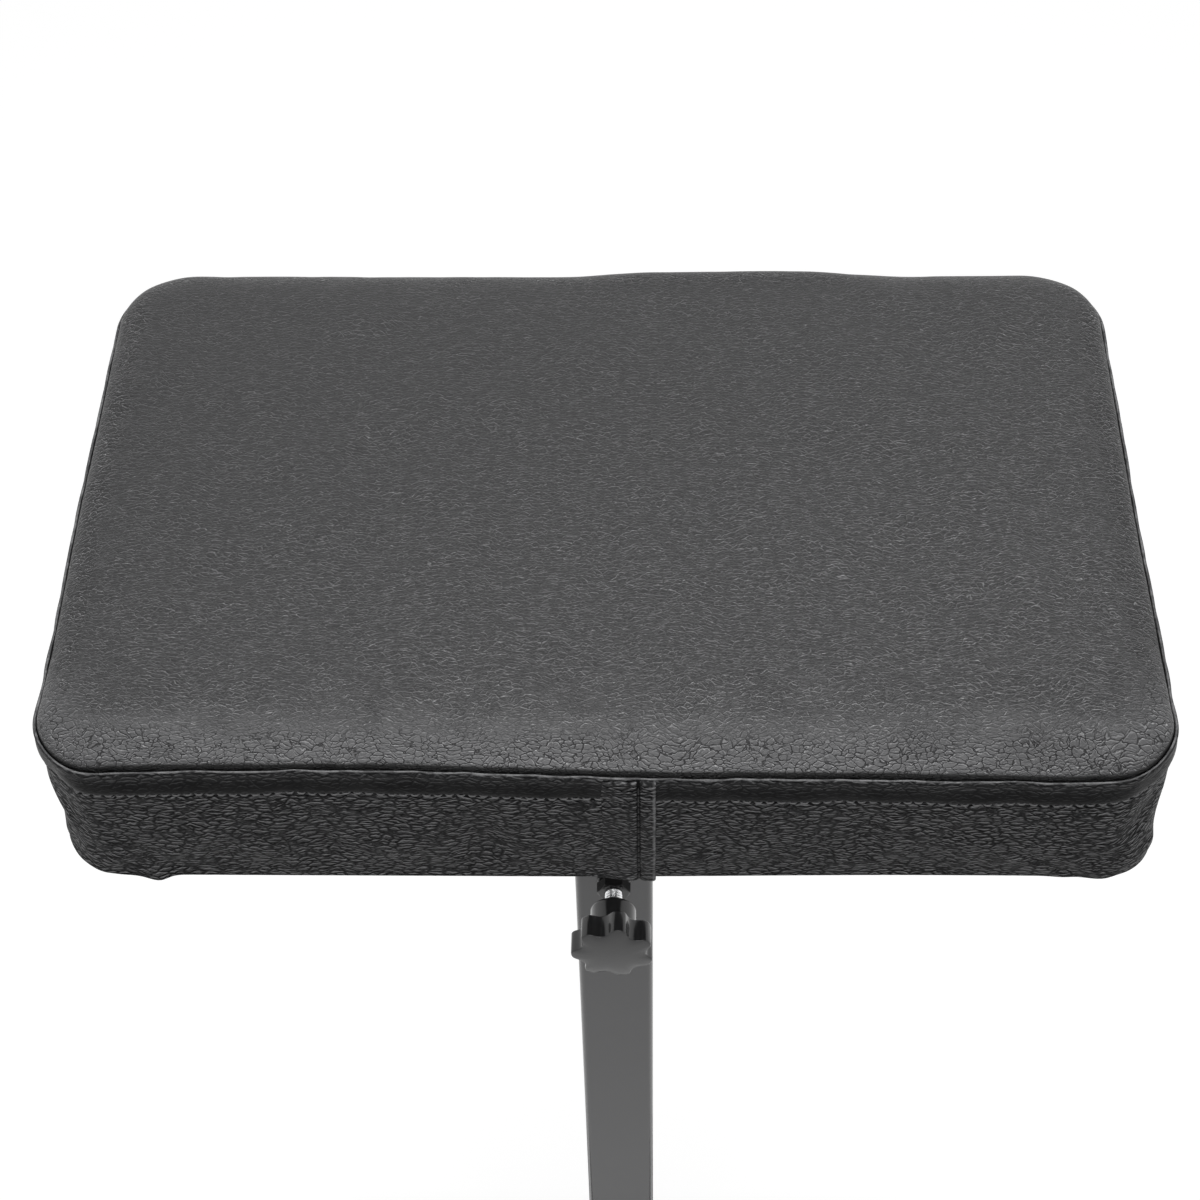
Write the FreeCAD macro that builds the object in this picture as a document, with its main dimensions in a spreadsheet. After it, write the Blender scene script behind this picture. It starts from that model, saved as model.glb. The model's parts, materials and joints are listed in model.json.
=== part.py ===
"""Arm rest stand: an upholstered pad on a telescoping square mast with an H-shaped base.

Millimetres, +Z up. The origin is on the floor, on the mast's axis. -Y is the front, where the
height clamp's star knob sticks out, and the pad's long side lies along X.
The pad tilts about X on a quadrant bracket, and a second star knob locks it.
"""

import FreeCAD, Part
import math
import os
import re
import sys

import Sketcher

VECTOR = FreeCAD.Vector
UP = VECTOR(0, 0, 1)

# Driving dimensions: alias, value, what it is.
SIZES = (
    # Floor frame: two cross beams and a centre beam of one rectangular tube
    ("beam_width", 50, "flat width of the base tube"),
    ("beam_height", 25, "height of the base tube"),
    ("beam_wall", 1.5, "wall of the base tube"),
    ("beam_corner", 3, "outer corner radius of the base tube"),
    ("cross_beam_length", 396, "left to right, without its end caps"),
    ("base_depth", 280, "front to back over both cross beams"),
    ("cap_rim", 2, "thickness of an end cap's visible rim"),
    ("cap_depth", 14, "how far an end cap's plug goes into the tube"),
    ("plug_gap", 0.2, "gap between a plastic plug and the tube round it"),
    ("cap_edge", 0.8, "bevelled edge of a cap's rim"),
    # Rubber feet
    ("foot_height", 16, "height of a rubber foot"),
    ("foot_radius", 14, "radius of a foot where it meets the beam"),
    ("foot_taper", 2.5, "how much smaller its radius is at the floor"),
    ("foot_inset", 28, "from the end of a cross beam to a foot's centre"),
    ("foot_recess_radius", 6, "pocket that hides the foot's screw head"),
    ("foot_recess_depth", 6, "depth of that pocket"),
    ("foot_screw_radius", 2.1, "shank of the foot's screw"),
    ("foot_screw_head_radius", 4.4, "head of the foot's screw"),
    ("foot_screw_head", 2.6, "height of that head"),
    ("foot_screw_reach", 6, "how far the screw stands inside the beam"),
    # Fasteners of one thread: foot bolts, pivot, tilt lock and height clamp
    ("bolt_radius", 3.95, "shank of the main bolts and the clamp stud"),
    ("thread_gap", 0.05, "radial gap of a thread in its nut"),
    ("hole_gap", 0.1, "radial gap of a bolt in a drilled hole"),
    ("nut_flats", 13, "across the flats of nuts and bolt heads"),
    ("nut_height", 6.5, "height of a plain nut"),
    ("lock_nut_height", 8, "height of a nut with a nylon ring"),
    ("nylon_height", 2, "height of that ring's collar"),
    ("bolt_head", 5.3, "height of a bolt head"),
    ("washer_radius", 8, "outer radius of a plain washer"),
    ("washer_thick", 1.6, "thickness of every washer"),
    ("fender_radius", 12, "outer radius of the wide washers on the slot"),
    ("bolt_end", 2.5, "thread standing out past a nut"),
    ("edge_chamfer", 0.8, "chamfer on nuts, bolt ends and tube ends"),
    # Mast foot, welded to the column and bolted to the centre beam
    ("foot_plate_thick", 4, "thickness of the plate under the column"),
    ("foot_plate_length", 112, "front to back"),
    ("foot_plate_corner", 6, "corner radius of the plate"),
    ("foot_bolt_x", 14, "foot bolt's distance from the middle, left to right"),
    ("foot_bolt_y", 42, "foot bolt's distance from the middle, front to back"),
    ("gusset_thick", 4, "thickness of the two stiffening ribs"),
    ("gusset_reach", 22, "how far a rib runs along the plate"),
    ("gusset_rise", 42, "how far a rib runs up the column"),
    ("gusset_toe", 4, "height of a rib at its blunt end"),
    # Column: the fixed outer tube
    ("column_length", 664, "length of the column tube"),
    ("column_wall", 1.5, "wall of the column tube"),
    ("column_corner", 3, "outer corner radius of the column tube"),
    ("clamp_drop", 28, "from the column's top down to the clamp screw's axis"),
    ("liner_thick", 0.8, "wall of the plastic guide bush inside the column"),
    ("slide_gap", 0.1, "gap each side of the bush's wall"),
    ("liner_depth", 62, "how far the bush reaches down the column"),
    ("bush_flange", 3, "thickness of the bush's flange on the column's top"),
    ("bush_lip", 1.5, "how far the flange stands out past the column"),
    ("bush_round", 1, "rounded edge of the flange"),
    # Post: the sliding inner tube
    ("post_width", 30, "outside width of the post tube"),
    ("post_wall", 1.5, "wall of the post tube"),
    ("post_corner", 3, "outer corner radius of the post tube"),
    ("post_length", 420, "length of the post tube"),
    ("pivot_rise", 102, "from the column's top up to the tilt pivot, as it stands"),
    ("pivot_edge", 14, "from the pivot up to the end of the post tube"),
    ("post_cap_rim", 2, "thickness of the cap on the post's top"),
    ("glide_rim", 3, "thickness of the glide under the post's end"),
    ("sleeve_radius", 6.5, "outer radius of the spacer sleeves in the post"),
    # Height clamp and star knobs
    ("stud_gap_show", 7.6, "bare thread between the welded nut and the knob's hub"),
    ("stud_in_knob", 15, "length of thread moulded into the knob"),
    ("tip_radius", 3.5, "radius of the nylon tip that presses on the post"),
    ("tip_length", 3, "length of the nylon tip"),
    ("tip_gap", 0.1, "gap between the tip and the post"),
    ("tip_pin_radius", 2, "pin on the stud's end that the tip snaps on"),
    ("tip_pin_length", 1.8, "length of that pin"),
    ("knob_radius", 18.4, "outer radius of a star knob's lobes"),
    ("knob_thick", 12, "thickness of the star"),
    ("knob_hub_radius", 10.2, "radius of the hub behind the star"),
    ("knob_hub_length", 13.2, "length of the hub"),
    ("knob_hub_round", 2.2, "rounded end of the hub"),
    ("knob_valley_depth", 3.9, "depth of the finger valley between two lobes"),
    ("knob_lobe_width", 6, "width of a lobe at its outer end"),
    ("knob_face_round", 0.7, "rounded rim of the star's face"),
    ("clamp_knob_turn", 16, "degrees by which the clamp's knob was left turned"),
    ("lock_knob_turn", 8, "degrees by which the tilt lock's knob was left turned"),
    ("insert_radius", 6.2, "brass insert in the tilt lock's knob"),
    ("insert_length", 14, "length of the brass insert"),
    ("lock_bolt_bite", 12, "how far the lock bolt reaches into its knob"),
    ("lock_bolt_room", 5, "room past the bolt's end in that knob"),
    # Tilt bracket: a pressed U with a quadrant slot in each ear
    ("ear_gap", 0.3, "gap between an ear and the post"),
    ("bracket_thick", 3, "sheet of the bracket"),
    ("bracket_bend", 2, "inside radius of its two bends"),
    ("bracket_half_length", 36, "half of the bracket's length, front to back"),
    ("web_rise", 32, "from the pivot up to the underside of the bracket's web"),
    ("slot_radius", 32, "from the pivot to the slot's middle line"),
    ("slot_clearance", 0.25, "radial gap of the lock bolt in the slot"),
    ("ear_margin", 7, "metal outside the slot"),
    ("tilt_limit", 45, "degrees of tilt each way before the slot ends"),
    # Plate between the bracket and the pad
    ("plate_thick", 3, "mounting plate"),
    ("plate_length", 132, "left to right"),
    ("plate_depth", 110, "front to back"),
    ("plate_corner", 10, "corner radius of the plate"),
    ("plate_screw_x", 52, "screw's distance from the middle, left to right"),
    ("plate_screw_y", 41, "screw's distance from the middle, front to back"),
    ("screw_radius", 2.95, "shank of the plate screws"),
    ("screw_head_radius", 5.6, "pan head of the plate screws"),
    ("screw_head", 3.6, "height of that head"),
    ("screw_head_bevel", 1.4, "bevelled edge of that head"),
    ("screw_washer_radius", 7, "washer under that head"),
    ("tee_flange_radius", 9.5, "flange of a tee nut"),
    ("tee_flange", 1.5, "thickness of that flange"),
    ("tee_barrel_radius", 4, "barrel of a tee nut"),
    ("tee_barrel", 8.5, "length of the barrel in the board"),
    # Pad
    ("pad_length", 400, "left to right at the widest"),
    ("pad_depth", 255, "front to back at the widest"),
    ("pad_corner", 32, "corner radius of the pad in plan"),
    ("pad_wall", 64, "from the pad's underside up to the top seam"),
    ("pad_crown", 10, "from the top seam up to the top"),
    ("seam_inset", 1.6, "how far the seam lies inside the widest outline"),
    ("foot_draw", 5, "how far the sides draw in at the underside"),
    ("crown_run", 62, "how far in from the seam the top goes on rising"),
    ("cover_thick", 1.2, "synthetic leather"),
    ("foam_gap", 0.3, "gap between the foam and its cover"),
    ("board_thick", 12, "plywood board"),
    ("board_gap", 0.4, "gap between the board's edge and the cover"),
    ("hem_width", 30, "leather turned under the board"),
    ("dust_thick", 0.4, "non-woven sheet under the pad"),
    ("dust_inset", 17, "from the pad's widest outline to the sheet's edge"),
    ("dust_step", 1, "width of the sheet's fold where it steps up past the hem"),
)

KNOB_LOBES = 7
# A lobe's rounded corner as a share of its width, and a post cap's plug as a share of its room.
LOBE_ROUND_SHARE = 0.36
POST_PLUG_SHARE = 0.8
# How much of the pad's corner radius its hem keeps, and how much crown_run takes off the top's.
HEM_CORNER_SHARE = 0.25
CROWN_CORNER_SHARE = 0.25
SQUARE = 90
FULL_TURN = 360

# How the pad's side swells: (share of the wall's height, share of foot_draw drawn in below,
# share of seam_inset drawn in above).
SIDE_SHARES = (
    (0.0, 1.0, 0.0),
    (0.03, 1.0, 0.0),
    (0.13, 0.42, 0.0),
    (0.32, 0.08, 0.0),
    (0.56, 0.0, 0.0),
    (0.82, 0.0, 0.32),
    (1.0, 0.0, 1.0),
)
# How the top swells: (share of the crown's height, share of crown_run in from the seam).
CROWN_SHARES = (
    (0.0, 0.0),
    (0.3, 0.022),
    (0.56, 0.068),
    (0.76, 0.16),
    (0.89, 0.32),
    (0.97, 0.62),
    (1.0, 1.0),
)

doc = FreeCAD.newDocument("ArmRestStand")
sheet = doc.addObject("Spreadsheet::Sheet", "Sizes")
for row, (alias, size, meaning) in enumerate(SIZES, start=1):
    sheet.set("A%d" % row, str(size))
    sheet.setAlias("A%d" % row, alias)
    sheet.set("B%d" % row, meaning)
doc.recompute()

ALIASES = set(alias for alias, size, meaning in SIZES)


# Expressions


def linked(text):
    """The expression with every alias written as a cell of the sheet."""
    return re.sub(r"[a-z]\w*", lambda m: "Sizes." + m.group() if m.group() in ALIASES else m.group(), text)


def size_of(text):
    """The expression's value now."""
    return float(sheet.evalExpression(linked(text)))


def bind(thing, path, text):
    """Binds a property to an expression of the named sizes."""
    thing.setExpression(path, linked(text))


# Derived sizes, as expressions

COLUMN_WIDTH = "(post_width + 2 * (liner_thick + 2 * slide_gap) + 2 * column_wall)"
COLUMN_BASE = "(foot_height + beam_height + foot_plate_thick)"
COLUMN_TOP = f"({COLUMN_BASE} + column_length)"
CLAMP_Z = f"({COLUMN_TOP} - clamp_drop)"
PIVOT_Z = f"({COLUMN_TOP} + pivot_rise)"
POST_END_Z = f"({PIVOT_Z} + pivot_edge - post_length)"
EAR_INSIDE = "(post_width / 2 + ear_gap)"
EAR_OUTSIDE = "(post_width / 2 + ear_gap + bracket_thick)"
EAR_RADIUS = "(slot_radius + bolt_radius + slot_clearance + ear_margin)"
WEB_TOP = "(web_rise + bracket_thick)"
PLATE_TOP = f"({PIVOT_Z} + {WEB_TOP} + plate_thick)"
PAD_BASE = f"({PLATE_TOP} - cover_thick)"
BOARD_BASE = f"({PAD_BASE} + dust_thick + cover_thick)"
BEAM_Z = "(foot_height + beam_height / 2)"
CROSS_BEAM_Y = "(base_depth / 2 - beam_width / 2)"
FOOT_X = "(cross_beam_length / 2 - foot_inset)"


# Bodies, sketches and features


def new_body(label):
    body = doc.addObject("PartDesign::Body", label)
    body.Label = label
    return body


def place(body, x="0", y="0", z="0", axis=UP, angle=0, spin="0"):
    """Spins the body about its own Z, turns it about an axis and binds its place to the sizes."""
    turned = FreeCAD.Rotation(axis, angle).multiply(FreeCAD.Rotation(UP, size_of(spin)))
    body.Placement = FreeCAD.Placement(VECTOR(0, 0, 0), turned)
    for name, text in (("x", x), ("y", y), ("z", z)):
        bind(body, "Placement.Base." + name, text)


def origin_feature(body, role):
    return next(o for o in body.Origin.OriginFeatures if o.Role == role)


def sketch_on(body, role="XY_Plane", lift="0", along="0"):
    """An empty sketch on one of the body's origin planes, lifted along the plane's normal."""
    sketch = body.newObject("Sketcher::SketchObject", body.Label + "_sketch")
    sketch.AttachmentSupport = [(origin_feature(body, role), "")]
    sketch.MapMode = "FlatFace"
    bind(sketch, "AttachmentOffset.Base.x", along)
    bind(sketch, "AttachmentOffset.Base.z", lift)
    return sketch


def constrain(sketch, kind, *arguments, size):
    """A dimension of the sketch, bound to an expression."""
    number = sketch.addConstraint(Sketcher.Constraint(kind, *arguments, size_of(size)))
    bind(sketch, "Constraints[%d]" % number, size)


def hold_point(sketch, geometry, point, x, y):
    """Fixes a point by its distances from the origin, each measured the positive way."""
    for kind, text in (("DistanceX", x), ("DistanceY", y)):
        if size_of(text) < 0:
            constrain(sketch, kind, geometry, point, -1, 1, size=f"-({text})")
        else:
            constrain(sketch, kind, -1, 1, geometry, point, size=text)


def circle(sketch, radius, x="0", y="0"):
    centre = VECTOR(size_of(x), size_of(y), 0)
    number = sketch.addGeometry(Part.Circle(centre, UP, size_of(radius)))
    hold_point(sketch, number, 3, x, y)
    constrain(sketch, "Radius", number, size=radius)


def ring(sketch, outer, inner, x="0", y="0"):
    circle(sketch, outer, x, y)
    circle(sketch, inner, x, y)


def outline(sketch, corners):
    """A closed outline of straight lines through corners given as pairs of expressions."""
    points = [VECTOR(size_of(x), size_of(y), 0) for x, y in corners]
    lines = [
        sketch.addGeometry(Part.LineSegment(point, points[(i + 1) % len(points)]))
        for i, point in enumerate(points)
    ]
    for i, line in enumerate(lines):
        sketch.addConstraint(Sketcher.Constraint("Coincident", line, 2, lines[(i + 1) % len(lines)], 1))
        hold_point(sketch, line, 1, *corners[i])


def rectangle(sketch, x_low, x_high, y_low, y_high):
    outline(sketch, ((x_low, y_low), (x_high, y_low), (x_high, y_high), (x_low, y_high)))


def rounded_rectangle(sketch, width, depth, radius, x="0", y="0"):
    """A rectangle with round corners, about the point x, y."""
    half_x = size_of(width) / 2
    half_y = size_of(depth) / 2
    r = size_of(radius)
    middle = VECTOR(size_of(x), size_of(y), 0)
    arcs = []
    for i, (sign_x, sign_y) in enumerate(((1, 1), (-1, 1), (-1, -1), (1, -1))):
        centre = middle + VECTOR(sign_x * (half_x - r), sign_y * (half_y - r), 0)
        start = math.radians(SQUARE * i)
        arc = Part.ArcOfCircle(Part.Circle(centre, UP, r), start, start + math.radians(SQUARE))
        arcs.append(sketch.addGeometry(arc))
        hold_point(
            sketch,
            arcs[i],
            3,
            f"{x} + {sign_x} * (({width}) / 2 - ({radius}))",
            f"{y} + {sign_y} * (({depth}) / 2 - ({radius}))",
        )
        constrain(sketch, "Radius", arcs[i], size=radius)
    for i, arc in enumerate(arcs):
        following = arcs[(i + 1) % len(arcs)]
        start = sketch.getPoint(arc, 2)
        end = sketch.getPoint(following, 1)
        line = sketch.addGeometry(Part.LineSegment(start, end))
        sketch.addConstraint(Sketcher.Constraint("Tangent", arc, 2, line, 1))
        sketch.addConstraint(Sketcher.Constraint("Tangent", line, 2, following, 1))


def hexagon(sketch, flats, x="0", y="0"):
    """A regular hexagon with two sides parallel to the sketch's X axis."""
    side = f"(({flats}) / sqrt(3))"
    corners = []
    for reach, rise in ((1, 0), (0.5, 1), (-0.5, 1), (-1, 0), (-0.5, -1), (0.5, -1)):
        corners.append((f"{x} + {reach} * {side}", f"{y} + {rise} * ({flats}) / 2"))
    outline(sketch, corners)


def extrude(body, sketch, length, symmetric=False, backward=False):
    feature = body.newObject("PartDesign::Pad", body.Label + "_pad")
    feature.Profile = (sketch, [""])
    feature.SideType = "Symmetric" if symmetric else "One side"
    feature.Reversed = backward
    bind(feature, "Length", length)
    doc.recompute()
    return feature


def cut(body, sketch, depth=None, symmetric=False, backward=False):
    """A pocket, through all when no depth is given. It stops the build if it removes nothing."""
    before = body.Shape.Volume
    feature = body.newObject("PartDesign::Pocket", body.Label + "_pocket")
    feature.Profile = (sketch, [""])
    feature.SideType = "Symmetric" if symmetric else "One side"
    feature.Reversed = backward
    if depth is None:
        feature.Type = "ThroughAll"
    else:
        bind(feature, "Length", depth)
    doc.recompute()
    if body.Shape.Volume >= before:
        sys.exit(f"{body.Label}: a pocket cut nothing")
    return feature


def turn(body, sketch):
    """A solid turned from a sketch about the sketch's own vertical axis."""
    feature = body.newObject("PartDesign::Revolution", body.Label + "_turned")
    feature.Profile = (sketch, [""])
    feature.ReferenceAxis = (sketch, ["V_Axis"])
    feature.Angle = FULL_TURN
    doc.recompute()
    return feature


def turn_off(body, sketch):
    """Cuts a sketch turned about its own vertical axis. It stops the build if it removes nothing."""
    before = body.Shape.Volume
    feature = body.newObject("PartDesign::Groove", body.Label + "_turned")
    feature.Profile = (sketch, [""])
    feature.ReferenceAxis = (sketch, ["V_Axis"])
    feature.Angle = FULL_TURN
    doc.recompute()
    if body.Shape.Volume >= before:
        sys.exit(f"{body.Label}: a groove cut nothing")
    return feature


def round_edges(body, feature, radius, wanted, kind="Fillet"):
    """Rounds or chamfers the edges of a feature that wanted() picks."""
    names = ["Edge%d" % (i + 1) for i, e in enumerate(feature.Shape.Edges) if wanted(e)]
    edge = body.newObject("PartDesign::" + kind, body.Label + "_edge")
    edge.Base = (feature, names)
    bind(edge, "Radius" if kind == "Fillet" else "Size", radius)
    doc.recompute()
    return edge


def mirror_whole(body, *roles):
    """Repeats the whole body across one or more of its origin planes."""
    for role in roles:
        mirror = body.newObject("PartDesign::Mirrored", body.Label + "_mirrored")
        mirror.TransformMode = "Whole shape"
        mirror.MirrorPlane = (origin_feature(body, role), [""])
        body.Tip = mirror
        doc.recompute()


def loft(body, sections, subtract=False):
    """A ruled loft up through rounded rectangles: each is height, width, depth and radius."""
    sketches = []
    for height, width, depth, radius in sections:
        sketch = sketch_on(body, lift=height)
        rounded_rectangle(sketch, width, depth, radius)
        sketches.append(sketch)
    doc.recompute()
    kind = "PartDesign::SubtractiveLoft" if subtract else "PartDesign::AdditiveLoft"
    feature = body.newObject(kind, body.Label + "_loft")
    feature.Profile = (sketches[0], [""])
    feature.Sections = [(sketch, [""]) for sketch in sketches[1:]]
    feature.Ruled = True
    doc.recompute()
    return feature


# Edge pickers


def at_height(edge, height):
    """True for an edge that lies flat at this height."""
    box = edge.BoundBox
    return math.isclose(box.ZMin, height, abs_tol=1e-4) and math.isclose(box.ZMax, height, abs_tol=1e-4)


def on_circle(edge, radius):
    """True for an edge parallel to Z whose ends lie on a circle of this radius about Z."""
    if len(edge.Vertexes) < 2:
        return False
    ends = [vertex.Point for vertex in edge.Vertexes]
    upright = math.hypot(ends[0].x - ends[1].x, ends[0].y - ends[1].y) < 1e-4
    return upright and math.isclose(math.hypot(ends[0].x, ends[0].y), radius, abs_tol=1e-3)


# Pieces that repeat


def square_tube(label, width, wall, corner, length):
    """A square tube standing on its body's origin."""
    body = new_body(label)
    sketch = sketch_on(body)
    rounded_rectangle(sketch, width, width, corner)
    rounded_rectangle(sketch, f"{width} - 2 * {wall}", f"{width} - 2 * {wall}", f"{corner} - {wall}")
    extrude(body, sketch, length)
    return body


def beam(label, length, role):
    """A base tube lying along the normal of the plane named, centred on its body's origin."""
    body = new_body(label)
    sketch = sketch_on(body, role)
    rounded_rectangle(sketch, "beam_width", "beam_height", "beam_corner")
    rounded_rectangle(
        sketch, "beam_width - 2 * beam_wall", "beam_height - 2 * beam_wall", "beam_corner - beam_wall"
    )
    extrude(body, sketch, length, symmetric=True)
    return body


def chamfer_hexagon(body, faces, x="0", y="0"):
    """Turns the corners of a hexagon off at 30 degrees. Each face is its height and +1 or -1."""
    overhang = "(edge_chamfer + nut_flats * (1 / sqrt(3) - 1 / 2))"
    for face, way in faces:
        sketch = sketch_on(body, "XZ_Plane", lift=f"-({y})", along=x)
        near = "nut_flats / 2"
        far = f"(nut_flats / 2 + {overhang})"
        low = f"({face} - {way} * {overhang} * tan(30 deg))"
        outline(sketch, ((near, face), (far, face), (far, low)))
        turn_off(body, sketch)


def hex_nut(label, height="nut_height", x="0", y="0"):
    """A plain nut on its body's origin, or off to x, y when it is to be mirrored."""
    body = new_body(label)
    sketch = sketch_on(body)
    hexagon(sketch, "nut_flats", x, y)
    circle(sketch, "bolt_radius + thread_gap", x, y)
    extrude(body, sketch, height)
    chamfer_hexagon(body, (("0", -1), (height, 1)), x, y)
    return body


def hex_bolt(label, length, x="0", y="0"):
    """A bolt whose head stands on the body's origin plane and whose shank goes down from it."""
    body = new_body(label)
    sketch = sketch_on(body)
    hexagon(sketch, "nut_flats", x, y)
    extrude(body, sketch, "bolt_head")
    chamfer_hexagon(body, (("bolt_head", 1),), x, y)
    sketch = sketch_on(body)
    circle(sketch, "bolt_radius", x, y)
    shank = extrude(body, sketch, length, backward=True)
    round_edges(body, shank, "edge_chamfer", lambda e: at_height(e, -size_of(length)), "Chamfer")
    return body


def washer(label, outer, x="0", y="0", hole="bolt_radius + hole_gap"):
    body = new_body(label)
    sketch = sketch_on(body)
    ring(sketch, outer, hole, x, y)
    extrude(body, sketch, "washer_thick")
    return body


def plug(label, width, depth, corner, wall, rim, reach):
    """A plastic tube plug: a rim that covers the tube's end at z 0 and a plug that goes down."""
    body = new_body(label)
    sketch = sketch_on(body)
    rounded_rectangle(sketch, width, depth, corner)
    feature = extrude(body, sketch, rim)
    round_edges(body, feature, "cap_edge", lambda e: at_height(e, size_of(rim)), "Chamfer")
    sketch = sketch_on(body)
    inset = f"2 * ({wall} + plug_gap)"
    rounded_rectangle(sketch, f"{width} - {inset}", f"{depth} - {inset}", f"{corner} - {wall}")
    extrude(body, sketch, reach, backward=True)
    return body


def star_knob(label, bore, bore_depth):
    """A seven-lobed knob: its hub's end is at z 0, and the star's face looks along +Z."""
    body = new_body(label)
    sketch = sketch_on(body)
    circle(sketch, "knob_hub_radius")
    hub = extrude(body, sketch, "knob_hub_length")
    round_edges(body, hub, "knob_hub_round", lambda e: at_height(e, 0))
    sketch = sketch_on(body, lift="knob_hub_length")
    circle(sketch, "knob_radius")
    extrude(body, sketch, "knob_thick")
    # A valley is an arc through its floor and the corners of its two lobes.
    swing = f"({FULL_TURN} / 2 / {KNOB_LOBES} * 1 deg - asin(knob_lobe_width / 2 / knob_radius))"
    floor = "(knob_radius - knob_valley_depth)"
    rise = f"(knob_radius * cos({swing}) - {floor})"
    valley_radius = f"(((knob_radius * sin({swing})) ^ 2 + {rise} ^ 2) / (2 * {rise}))"
    sketch = sketch_on(body, lift="knob_hub_length")
    circle(sketch, valley_radius, "0", f"{floor} + {valley_radius}")
    valley = cut(body, sketch, "knob_thick", backward=True)
    pattern = body.newObject("PartDesign::PolarPattern", label + "_pattern")
    pattern.Originals = [valley]
    pattern.Axis = (origin_feature(body, "Z_Axis"), [""])
    pattern.Angle = FULL_TURN
    pattern.Occurrences = KNOB_LOBES
    body.Tip = pattern
    doc.recompute()
    lobes = round_edges(
        body,
        pattern,
        f"knob_lobe_width * {LOBE_ROUND_SHARE}",
        lambda e: on_circle(e, size_of("knob_radius")),
    )
    front = size_of("knob_hub_length + knob_thick")
    round_edges(body, lobes, "knob_face_round", lambda e: at_height(e, front))
    sketch = sketch_on(body)
    circle(sketch, bore)
    cut(body, sketch, bore_depth, backward=True)
    return body


# Floor frame


def make_base():
    for label, side in (("base_front_beam", "-"), ("base_rear_beam", "")):
        body = beam(label, "cross_beam_length", "YZ_Plane")
        for sign in ("-", ""):
            sketch = sketch_on(body)
            circle(sketch, "foot_screw_radius + hole_gap", f"{sign}{FOOT_X}")
            cut(body, sketch)
        place(body, y=f"{side}{CROSS_BEAM_Y}", z=BEAM_Z)

    body = beam("base_centre_beam", "base_depth - 2 * beam_width", "XZ_Plane")
    sketch = sketch_on(body)
    for x in ("-foot_bolt_x", "foot_bolt_x"):
        for y in ("-foot_bolt_y", "foot_bolt_y"):
            circle(sketch, "bolt_radius + hole_gap", x, y)
    cut(body, sketch, symmetric=True)
    place(body, z=BEAM_Z)


def make_beam_caps():
    """Four end caps, built at the front right corner and mirrored."""
    body = new_body("beam_end_caps")
    end = "cross_beam_length / 2"
    sketch = sketch_on(body, "YZ_Plane", lift=end)
    rounded_rectangle(sketch, "beam_width", "beam_height", "beam_corner", f"-{CROSS_BEAM_Y}")
    rim = extrude(body, sketch, "cap_rim")
    face = size_of(f"{end} + cap_rim")
    near_face = face - size_of("cap_rim / 2")
    round_edges(body, rim, "cap_edge", lambda e: e.BoundBox.XMin > near_face, "Chamfer")
    sketch = sketch_on(body, "YZ_Plane", lift=end)
    inset = "2 * (beam_wall + plug_gap)"
    rounded_rectangle(
        sketch,
        f"beam_width - {inset}",
        f"beam_height - {inset}",
        "beam_corner - beam_wall",
        f"-{CROSS_BEAM_Y}",
    )
    extrude(body, sketch, "cap_depth", backward=True)
    mirror_whole(body, "YZ_Plane", "XZ_Plane")
    place(body, z=BEAM_Z)


def make_feet():
    """Four tapered rubber feet, each with a pocket for its screw's head, and the four screws."""
    body = new_body("rubber_feet")
    hole = "foot_screw_radius + hole_gap"
    sketch = sketch_on(body, "XZ_Plane", lift=CROSS_BEAM_Y, along=FOOT_X)
    outline(
        sketch,
        (
            (hole, "foot_recess_depth"),
            ("foot_recess_radius", "foot_recess_depth"),
            ("foot_recess_radius", "0"),
            ("foot_radius - foot_taper", "0"),
            ("foot_radius", "foot_height"),
            (hole, "foot_height"),
        ),
    )
    turn(body, sketch)
    mirror_whole(body, "YZ_Plane", "XZ_Plane")

    body = new_body("foot_screws")
    sketch = sketch_on(body, lift="foot_recess_depth")
    circle(sketch, "foot_screw_head_radius", FOOT_X, f"-{CROSS_BEAM_Y}")
    extrude(body, sketch, "foot_screw_head", backward=True)
    sketch = sketch_on(body, lift="foot_recess_depth")
    circle(sketch, "foot_screw_radius", FOOT_X, f"-{CROSS_BEAM_Y}")
    extrude(body, sketch, "foot_height - foot_recess_depth + beam_wall + foot_screw_reach")
    mirror_whole(body, "YZ_Plane", "XZ_Plane")


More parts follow.
